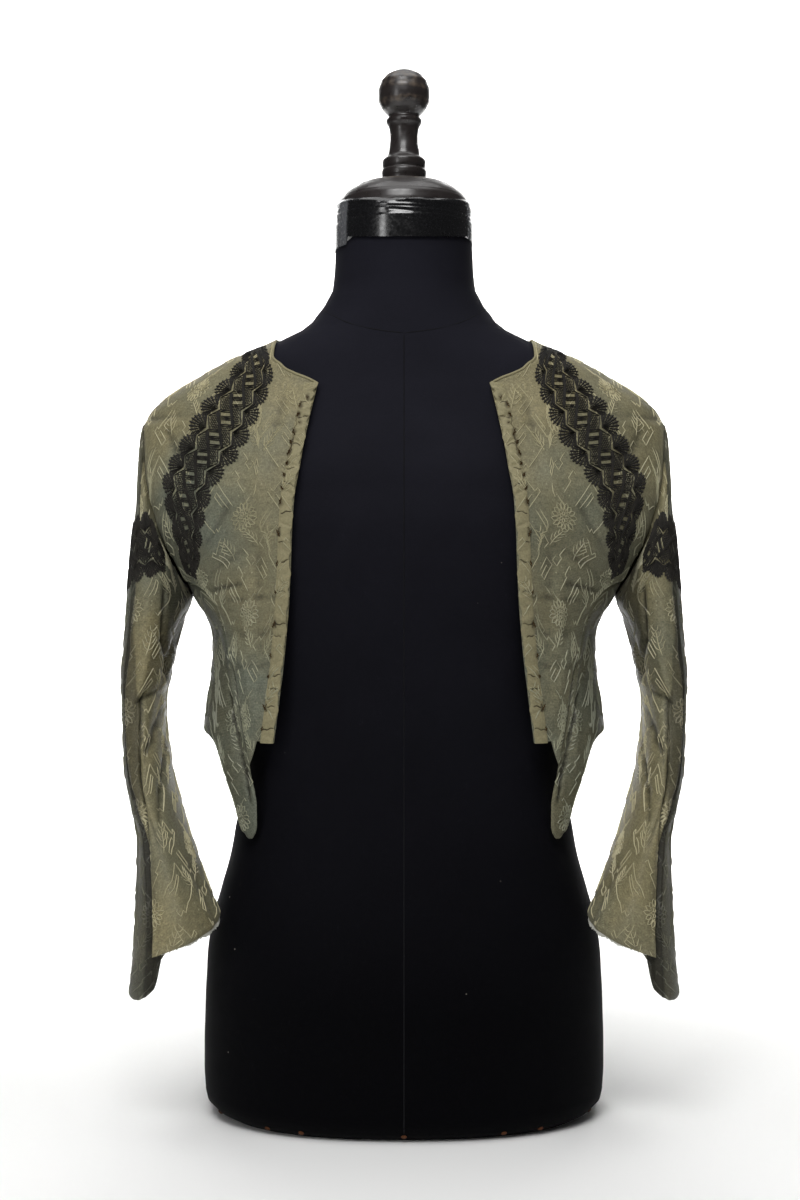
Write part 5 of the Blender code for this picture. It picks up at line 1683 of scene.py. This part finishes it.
# Silk strip, folded on itself and browned: softer and duller than the panels, stained
# with rust round each hook, and darkened in its cracks and tears as painted shade.
silk_strip, tree, shader = start_material(
    "olive silk strip, folded and sewn", Sheen_Weight=0.05, Roughness=0.68, Specular_IOR_Level=0.25
)
place = node(tree, "ShaderNodeTexCoord").outputs["Object"]
rust = node(tree, "ShaderNodeAttribute", attribute_name="rust").outputs["Fac"]
crepe = node(
    tree, "ShaderNodeTexNoise", {"Vector": place, "Scale": 1000 / CREPE_MM, "Detail": 3.0}
).outputs["Fac"]
stains = node(
    tree, "ShaderNodeTexNoise", {"Vector": place, "Scale": 1000 / SLUB_MM, "Detail": 5.0}
).outputs["Fac"]
toned = node(
    tree, "ShaderNodeMix", {0: crepe, 6: linear("#6d684f"), 7: linear("#9b9371")}, data_type="RGBA"
).outputs[2]
# The rust mark also carries painted shade in the cracks and tears.
spread = node(tree, "ShaderNodeMath", {0: rust, 1: stains}, operation="MULTIPLY").outputs[0]
rust_and_crack_shade = node(
    tree, "ShaderNodeMapRange", {"Value": spread, "From Min": 0.08, "From Max": 0.40, "To Max": 0.95}
).outputs["Result"]
stained = node(
    tree, "ShaderNodeMix", {0: rust_and_crack_shade, 6: toned, 7: linear("#2c2210")}, data_type="RGBA"
).outputs[2]
creped = node(
    tree, "ShaderNodeBump", {"Height": crepe, "Strength": 0.3, "Distance": 0.0003}
).outputs["Normal"]
wire(tree, shader, Base_Color=stained, Normal=creped)

strip_line = spaced(FRONT_EDGE, even(STRIP_ROWS))
strip_share = even(STRIP_COLUMNS)[:, None] + 0 * strip_line[None, :, 0]
wave = sum(
    depth * np.sin(math.tau * strip_line[:, 1] / length + start)
    for length, depth, start in zip(*EDGE_WAVES.values())
)
wave = wave + sum(
    depth * np.exp(-(((strip_line[:, 1] - height) / half) ** 2))
    for height, depth, half in zip(*NICKS.values())
)
strip_x = strip_line[:, 0] + wave + strip_share * (PLACKET_WIDTH - wave)
strip_z = strip_line[:, 1] + 0 * strip_share
strip_base, strip_out = body_surface(turn_of(strip_x, strip_z), strip_z)
swell = np.sin(np.pi * (STRIP_SWELL[0] + STRIP_SWELL[1] * strip_share))
pucker = np.zeros(strip_share.shape)
for height, slant, depth, half in zip(*PUCKERS.values()):
    off = (strip_z - height - slant * (strip_share - 0.5) * 2) / half
    pucker += depth * np.exp(-off * off) * swell
cracked = np.zeros(strip_share.shape)
for height, first, last, slant in zip(*CRACKS.values()):
    wander = CRACK_WANDER * np.sin(CRACK_WAVES[0] * strip_share + CRACK_WAVES[1] * height)
    bent = slant * (strip_share - 0.5) + wander
    inside = np.clip(CRACK_FADE * (strip_share - first), 0.0, 1.0)
    inside = inside * np.clip(CRACK_FADE * (last - strip_share), 0.0, 1.0)
    cracked = np.maximum(cracked, inside * np.exp(-(((strip_z - height - bent) / CRACK_HALF) ** 2)))
for low, high in zip(*TEARS.values()):
    inside = np.clip((strip_z - low) / TEAR_FADE, 0.0, 1.0) * np.clip((high - strip_z) / TEAR_FADE, 0.0, 1.0)
    middle = TEAR_MIDDLE + sum(wide * np.sin(strip_z / length) for wide, length in TEAR_WAVES)
    off = (strip_share - middle) * PLACKET_WIDTH / TEAR_HALF
    cracked = np.maximum(cracked, inside * np.exp(-off * off))


def rust_at(points):
    """How much rust from the hooks has soaked into the cloth there."""
    amount = np.zeros(len(points))
    for height, across, length, _, _, rust in zip(*HOOKS.values()):
        x = np.interp(height, strip_line[:, 1], strip_line[:, 0]) + across * PLACKET_WIDTH
        aside = (np.abs(points[:, 0]) - x) / RUST_REACH
        off = np.hypot(aside, (points[:, 2] - height) / (RUST_ALONG * length))
        amount = np.maximum(amount, RUST_MOST * rust * np.exp(-off * off))
    return amount


strip_rise = STRIP_LIFT + STRIP - pucker - EDGE_SINK * (1 - np.sin(np.pi * strip_share)) ** 2
strip_rise = np.maximum(strip_rise - CRACK_DEPTH * cracked, STRIP_LIFT)
strip_outer = strip_base + strip_out * strip_rise[..., None]
strip_inner = strip_base + strip_out * STRIP_LIFT / 2
strip_faces, _ = shell_faces(*strip_base.shape[:2])
strip_cut = np.stack([strip_share * PLACKET_WIDTH + FIGURE_SHIFT, strip_z], axis=-1)
(strip_figure, figure_faces), _ = woven_figure(strip_outer, strip_out, strip_cut)
strip_body = np.vstack([strip_outer.reshape(-1, 3), strip_inner.reshape(-1, 3), strip_figure])
strip_slots = [0] * len(strip_faces) + [1] * len(figure_faces)
first = 2 * strip_share.size
strip_faces = strip_faces + [tuple(corner + first for corner in face) for face in figure_faces]
strip_rust_and_crack_shade = rust_at(strip_body)
# Painted shade: the cracks and tears are darkened through the rust mark.
strip_rust_and_crack_shade[: strip_share.size] = np.maximum(strip_rust_and_crack_shade[: strip_share.size], cracked.ravel())
for side, word in BOTH:
    placket = add_piece(
        "placket_strip" + word,
        strip_body * (side, 1, 1),
        strip_faces,
        [silk_strip, figure_silk],
        strip_slots,
        marks={"rust": strip_rust_and_crack_shade, "shade": body_shade(strip_body)},
    )
    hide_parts("placket" + word)

# Hooks of the placket: bent wire, rusted nearly black, of which the backs show through
# the torn strip. Each is a short bent wire sewn to the edge.
HOOK_WIDTH = 0.0013
HOOK_HEIGHT = 0.0006
HOOK_OUT = 0.8  # share of the strip's thickness at which the wire lies
HOOK_BENDS = (
    np.array([(-0.05, -0.5), (0.14, -0.30), (-0.04, -0.12), (0.16, 0.10), (0.02, 0.26), (0.14, 0.5)]),
    np.array([(0.10, -0.5), (-0.10, -0.24), (0.16, 0.02), (-0.04, 0.22), (0.04, 0.5)]),
    np.array([(-0.30, -0.34), (-0.05, -0.12), (0.12, -0.30), (0.20, 0.05), (-0.04, 0.18), (0.10, 0.5)]),
)
rusted_wire, tree, shader = start_material(
    "steel wire, rusted through", Metallic=0.2, Roughness=0.8, Specular_IOR_Level=0.2
)
place = node(tree, "ShaderNodeTexCoord").outputs["Object"]
rust = node(
    tree, "ShaderNodeTexNoise", {"Vector": place, "Scale": 1000 / RUST_MM, "Detail": 4.0}
).outputs["Fac"]
rusted = node(
    tree, "ShaderNodeMix", {0: rust, 6: linear("#261b0c"), 7: linear("#523c1d")}, data_type="RGBA"
).outputs[2]
wire(tree, shader, Base_Color=rusted)
hook_strips = []
for height, across, length, tilt, bend, _ in zip(*HOOKS.values()):
    middle = np.interp(height, strip_line[:, 1], strip_line[:, 0]) + across * PLACKET_WIDTH
    lean = math.radians(tilt)
    shape = HOOK_BENDS[int(bend)] @ np.array(
        [[math.cos(lean), math.sin(lean)], [-math.sin(lean), math.cos(lean)]]
    )
    x, z = middle + shape[:, 0] * length, height + shape[:, 1] * length
    line, out = body_surface(turn_of(x, z), z)
    line = line + out * (STRIP_LIFT + STRIP * HOOK_OUT)
    hook_strips.append(ribbon(line, out, HOOK_WIDTH, HOOK_HEIGHT))
hook_points, hook_faces = gathered(hook_strips)
for side, word in BOTH:
    add_piece("placket_hooks" + word, hook_points * (side, 1, 1), hook_faces, [rusted_wire])

# Neck binding: a bias strip of the silk rolled into a thin piping along the neck edge,
# from one front corner round the back to the other.
PIPING_RADIUS = 0.0012
PIPING_SIDES = 12
neck_front = (front_points - front_out * CLOTH / 2)[: NECK_STEPS * FINER + 1, -1]
back_half = slice(SHOULDER_STEPS * FINER, BACK_STEPS * FINER + 1)
neck_back = (back_points - back_out * CLOTH / 2)[back_half, -1]
half_path = np.vstack([neck_front[:-1], (neck_front[-1:] + neck_back[:1]) / 2, neck_back[1:]])
path = np.vstack([half_path, (half_path * (-1, 1, 1))[::-1][1:]])
along = unit(np.gradient(path, axis=0))
level = unit(np.cross(along, (0.0, 0.0, 1.0)))
above = np.cross(level, along)
angle = np.linspace(0.0, math.tau, PIPING_SIDES, endpoint=False)
piping_rings = path[:, None] + PIPING_RADIUS * (
    level[:, None] * np.cos(angle)[None, :, None] + above[:, None] * np.sin(angle)[None, :, None]
)
piping = add_piece("neck_piping", piping_rings.reshape(-1, 3), closed_loft(piping_rings), [silk_strip])
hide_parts("neck_binding")


# Lace: a black cotton band with shell fans along both edges and paired open windows in
# the middle, laid over each shoulder and round each upper sleeve and caught down by hand.
LACE_LIFT = 0.0006
LACE_REPEAT_MM = 21.0
LACE_WIDTH_MM = 46.0
LACE_CLEAR = 0.0040
RIDGE_CLEAR = 0.03
LACE_OUTER = table(
    "x height",
    (0.1300, 0.6405),
    (0.1375, 0.6270),
    (0.1488, 0.6105),
    (0.1612, 0.5950),
    (0.1715, 0.5790),
    (0.1810, 0.5597),
    (0.1900, 0.5440),
    (0.1960, 0.5240),
    (0.1893, 0.4900),
    (0.1805, 0.4530),
)
LACE_INNER = table(
    "x height",
    (0.1160, 0.6430),
    (0.1075, 0.6140),
    (0.1125, 0.5930),
    (0.1195, 0.5745),
    (0.1282, 0.5550),
    (0.1385, 0.5385),
    (0.1515, 0.5205),
    (0.1585, 0.5020),
    (0.1640, 0.4770),
    (0.1700, 0.4470),
)
LACE_RING = table(
    "turn height half_width",
    (-118, 0.4780, 0.0250),
    (-60, 0.4700, 0.0270),
    (0, 0.4640, 0.0280),
    (60, 0.4720, 0.0270),
    (118, 0.4780, 0.0250),
)
# Chart of one repeat in mm along the band and across it from the middle. A fan on each
# edge: where it stands, its foot and its side of the band.
FANS = table("along foot side", (10.5, 10.4, -1), (3.4, 10.4, 1))
FAN_PETALS = 10
FAN_REACH = 14.2
FAN_OPEN = math.radians(66)
FAN_DROP = 0.07  # share by which the outer petals are shorter
FAN_INNER = 1.0
PETAL_FULL = 0.71  # share of the fan that its petals fill, the rest is gaps
FAN_TIES = (0.38, 0.66, 0.88)
CHANNEL = (7.2, 6.0, 3.2)  # where the zigzag is nearest to the middle, its depth and its width
BAR = ((-8.1, -8.6), (20.6, 9.4))
BAR_CORDS = (-1.5, -0.5, 0.5, 1.5)
WINDOWS = ((12.4, -1.8), (18.8, 1.8))
WINDOW_ACROSS = np.array((-0.42, 0.907))
WINDOW_ALONG = np.array((0.90, 0.43))
WINDOW_HALF = (4.4, 2.1)
RUNGS = ((9.0, -3.7, 4.0), (15.6, 0.0, 4.6), (22.2, 3.7, 4.0))
NET_SPACING = 1.6
NET_SLOPES = (52, -52)
NET_STEP = 2.2
# Width and height of each kind of thread
THREADS = {
    "cord": (0.00100, 0.00060),
    "bar": (0.00110, 0.00065),
    "frame": (0.00100, 0.00050),
    "net": (0.00070, 0.00030),
}
PETAL_HEIGHT = 0.0006
PETAL_POINTS = 9
PETAL_TIP = (0.92, 1.3)  # the last two widths of a petal, for its knob
ZIGZAG_POINTS = 17
LACE_STEP = 1.8
LACE_GRID = (120, 28)
LACE_MARGIN = 0.06  # share of the width by which the band's grid reaches past it


def shoulder_band(u, v):
    """Place on the front for a share along the shoulder lace and across it."""
    middle = np.array([LACE_OUTER["x"] + LACE_INNER["x"], LACE_OUTER["height"] + LACE_INNER["height"]]) / 2
    rows = np.concatenate([[0.0], np.cumsum(np.hypot(*np.diff(middle)))])
    rows = rows / rows[-1]
    outer, inner = (
        np.stack([smooth(u, rows, edge[k]) for k in ("x", "height")], axis=-1)
        for edge in (LACE_OUTER, LACE_INNER)
    )
    band = outer + (inner - outer) * v[..., None]
    return body_surface(np.maximum(turn_of(band[..., 0], band[..., 1]), RIDGE_CLEAR), band[..., 1])


def sleeve_band(u, v):
    """Place on the sleeve for a share along its lace and across it."""
    turn = LACE_RING["turn"][0] + np.ptp(LACE_RING["turn"]) * u
    middle, half = (smooth(turn, LACE_RING["turn"], LACE_RING[k]) for k in ("height", "half_width"))
    hole = armhole_turns(np.ravel(turn))[:, 1].reshape(turn.shape)
    top = np.minimum(middle + half, hole - LACE_CLEAR)
    return sleeve_surface(section_at(turn, top + (middle - half - top) * v), turn)


def on_grid(values, u, v):
    """Values of a grid at shares along and across it."""
    columns, rows = values.shape[0] - 1, values.shape[1] - 1
    i, j = (np.clip(s * n, 0, n - 1e-6) for s, n in ((u, columns), (v, rows)))
    a, b = i.astype(int), j.astype(int)
    s, t = (i - a)[:, None], (j - b)[:, None]
    low = values[a, b] * (1 - s) + values[a + 1, b] * s
    return low * (1 - t) + (values[a, b + 1] * (1 - s) + values[a + 1, b + 1] * s) * t


def channel(along, side, fan_along):
    """Distance of the zigzag's inner cord from the middle."""
    share = (along - fan_along) / LACE_REPEAT_MM
    return side * (CHANNEL[0] + CHANNEL[1] * np.abs(2 * np.abs(share - np.round(share))))


def in_window(spots):
    """Whether spots of the chart lie in an open window."""
    frame_ways = np.linalg.inv(np.stack([WINDOW_ACROSS, WINDOW_ALONG]))
    inside = np.zeros(len(spots), bool)
    for window in WINDOWS:
        off = spots - window
        off[:, 0] -= LACE_REPEAT_MM * np.round(off[:, 0] / LACE_REPEAT_MM)
        parts = np.abs(off @ frame_ways)
        inside |= (parts[:, 0] < WINDOW_HALF[0]) & (parts[:, 1] < WINDOW_HALF[1])
    return inside


def lace_lines(repeats):
    """All threads of a band as lines on its chart, each with its width and height."""
    lines = []
    for k in range(-1, repeats + 1):
        start = np.array((k * LACE_REPEAT_MM, 0.0))
        for along, foot, side in zip(*FANS.values()):
            slopes = np.linspace(-FAN_OPEN, FAN_OPEN, FAN_PETALS)
            ways = np.column_stack([np.sin(slopes), side * np.cos(slopes)])
            reaches = FAN_REACH * (1 - FAN_DROP * (slopes / FAN_OPEN) ** 2)
            for way, reach in zip(ways, reaches):
                away = np.linspace(FAN_INNER, reach, PETAL_POINTS)
                full = PETAL_FULL * (slopes[1] - slopes[0]) * away / 1000
                full[-2:] *= PETAL_TIP
                lines.append((start + (along, side * foot) + away[:, None] * way, full, PETAL_HEIGHT))
            for share in FAN_TIES:
                tie = start + (along, side * foot) + share * reaches[:, None] * ways
                lines.append((resampled(tie, LACE_STEP), *THREADS["net"]))
            zigzag = start[0] + along + LACE_REPEAT_MM * np.linspace(-0.5, 0.5, ZIGZAG_POINTS)
            for off in (0.0, CHANNEL[2]):
                across = channel(zigzag, side, along) + side * off
                lines.append((np.column_stack([zigzag, across]), *THREADS["cord"]))
        for off in BAR_CORDS:
            lines.append((resampled(start + np.array(BAR) + (off, 0.0), LACE_STEP), *THREADS["bar"]))
        for window in WINDOWS:
            corners = [
                a * WINDOW_HALF[0] * WINDOW_ACROSS + b * WINDOW_HALF[1] * WINDOW_ALONG
                for a, b in ((-1, -1), (1, -1), (1, 1), (-1, 1), (-1, -1))
            ]
            lines.append((resampled(start + window + np.array(corners), LACE_STEP), *THREADS["frame"]))
        for along, across, half in RUNGS:
            ends = np.array((-1.0, 1.0))[:, None] * half * WINDOW_ACROSS
            lines.append((resampled(start + (along, across) + ends, LACE_STEP), *THREADS["frame"]))
    length = repeats * LACE_REPEAT_MM
    for slope in np.radians(NET_SLOPES):
        way = np.array((math.cos(slope), math.sin(slope)))
        reach = (CHANNEL[0] + CHANNEL[1]) / abs(way[1])
        run = np.arange(-reach, reach, NET_STEP)
        for middle in np.arange(-LACE_WIDTH_MM, length + LACE_WIDTH_MM, NET_SPACING / abs(way[1])):
            spots = (middle, 0.0) + run[:, None] * way
            edge = [channel(spots[:, 0], side, along) for along, side in zip(FANS["along"], FANS["side"])]
            open_net = (spots[:, 1] > edge[0]) & (spots[:, 1] < edge[1]) & ~in_window(spots)
            cuts = np.flatnonzero(np.diff(open_net.astype(int))) + 1
            for piece, is_open in zip(np.split(spots, cuts), np.split(open_net, cuts)):
                if is_open[0] and len(piece) > 1:
                    lines.append((piece, *THREADS["net"]))
    return lines


# Black cotton, spun and knotted: matte with a faint warm brown where it has faded.
LACE_FADE_MM = 4.0
black_lace, tree, shader = start_material(
    "black cotton lace, spun and knotted", Roughness=0.8, Specular_IOR_Level=0.25, Sheen_Weight=0.05
)
place = node(tree, "ShaderNodeTexCoord").outputs["Object"]
faded = node(
    tree, "ShaderNodeTexNoise", {"Vector": place, "Scale": 1000 / LACE_FADE_MM, "Detail": 4.0}
).outputs["Fac"]
dyed = node(
    tree, "ShaderNodeMix", {0: faded, 6: linear("#0c0b0b"), 7: linear("#322f29")}, data_type="RGBA"
).outputs[2]
wire(tree, shader, Base_Color=dyed)

for name, band, repeats in (("lace_shoulder", shoulder_band, 11), ("lace_sleeve", sleeve_band, 9)):
    across = np.linspace(-LACE_MARGIN, 1 + LACE_MARGIN, LACE_GRID[1] + 1)
    u, v = np.meshgrid(even(LACE_GRID[0]), across, indexing="ij")
    laid, laid_out = band(u, v)
    length = repeats * LACE_REPEAT_MM
    strips = []
    for line, width, height in lace_lines(repeats):
        kept = (line[:, 0] >= 0.0) & (line[:, 0] <= length)
        if kept.sum() > 1:
            u, v = line[kept, 0] / length, 0.5 + line[kept, 1] / LACE_WIDTH_MM
            row = (v + LACE_MARGIN) / (1 + 2 * LACE_MARGIN)
            out = unit(on_grid(laid_out, u, row))
            thread = on_grid(laid, u, row) + out * LACE_LIFT
            strips.append(ribbon(thread, out, (width + 0 * line[:, 0])[kept], height))
    lace_points, lace_faces = gathered(strips)
    for side, word in BOTH:
        lace = add_piece(name + word + "_band", lace_points * (side, 1, 1), lace_faces, [black_lace])
        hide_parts(name + word)


# Floor and backdrop: one sheet of white paper, matte, which lies under the form and curves
# up behind it.
FLOOR_HALF = 1.3
FLOOR_FRONT = 1.2
BEND_START = 1.2
BEND_RADIUS = 0.8
BEND_POINTS = 17
WALL_TOP = 3.2
backdrop_paper, *_ = start_material(
    "white backdrop paper", Roughness=0.9, Base_Color=linear("#fbfbfa"), Specular_IOR_Level=0.1
)
bend = np.radians(np.linspace(0, 90, BEND_POINTS))
run = np.vstack(
    [
        [(-FLOOR_FRONT, 0.0)],
        np.column_stack([np.sin(bend), 1 - np.cos(bend)]) * BEND_RADIUS + (BEND_START, 0.0),
        [(BEND_START + BEND_RADIUS, WALL_TOP)],
    ]
)
sheet_points = np.array([(x, y, z) for x in (-FLOOR_HALF, FLOOR_HALF) for y, z in run])
count = len(run)
backdrop_mesh = bpy.data.meshes.new("backdrop")
backdrop_mesh.from_pydata(
    sheet_points.tolist(), [], [(k, k + 1, count + k + 1, count + k) for k in range(count - 1)]
)
backdrop_mesh.materials.append(backdrop_paper)
backdrop_mesh.shade_smooth()
backdrop = bpy.data.objects.new("backdrop", backdrop_mesh)
bpy.context.scene.collection.objects.link(backdrop)

# Studio light: a large soft box high in front, a tall window at the left, a light with a
# narrow beam for the backdrop alone and a pale ceiling, in a dim room.
LIGHTS = table(
    "x y z aim_y aim_z width height beam power",
    (-0.25, -2.0, 2.5, 0.0, 0.45, 1.5, 1.1, 180, 52.0),
    (-1.3, -1.9, 0.95, 0.0, 0.55, 0.35, 0.9, 180, 7.0),
    (0.0, 0.9, 2.8, 2.0, 0.5, 2.6, 0.6, 80, 62.0),
    (0.0, 0.0, 3.0, 0.1, 0.0, 2.4, 2.4, 180, 36.0),
)
for k, (x, y, z, aim_y, aim_z, width, height, beam, power) in enumerate(zip(*LIGHTS.values())):
    lamp = bpy.data.lights.new(f"soft_box_{k}", "AREA")
    lamp.shape = "RECTANGLE"
    lamp.size = width
    lamp.size_y = height
    lamp.spread = math.radians(beam)
    lamp.energy = power
    box = bpy.data.objects.new(f"soft_box_{k}", lamp)
    box.location = (x, y, z)
    box.rotation_euler = (Vector((0.0, aim_y, aim_z)) - box.location).to_track_quat("-Z", "Y").to_euler()
    bpy.context.scene.collection.objects.link(box)
ROOM_LIGHT = 0.07
world = bpy.data.worlds.new("dim room")
world.use_nodes = True
world.node_tree.nodes["Background"].inputs["Color"].default_value = linear("#f4f5f6")
world.node_tree.nodes["Background"].inputs["Strength"].default_value = ROOM_LIGHT
bpy.context.scene.world = world
bpy.context.scene.view_settings.view_transform = "Standard"

# Camera: level and straight in front, at the middle of the form's height, with the lens
# shifted so that the form's axis stands where the photo has it.
CAMERA_AWAY = 1.55
CAMERA_HEIGHT = 0.43
PICTURE = (800, 1200)
FOCAL_PIXELS = 1823.5
AXIS_PIXEL = 404
lens = bpy.data.cameras.new("front_view")
lens.sensor_fit = "VERTICAL"
lens.angle_y = 2 * math.atan(PICTURE[1] / 2 / FOCAL_PIXELS)
lens.shift_x = (PICTURE[0] / 2 - AXIS_PIXEL) / PICTURE[1]
camera = bpy.data.objects.new("front_view", lens)
camera.location = (0.0, -CAMERA_AWAY, CAMERA_HEIGHT)
camera.rotation_euler = (math.pi / 2, 0.0, 0.0)
bpy.context.scene.collection.objects.link(camera)
bpy.context.scene.camera = camera
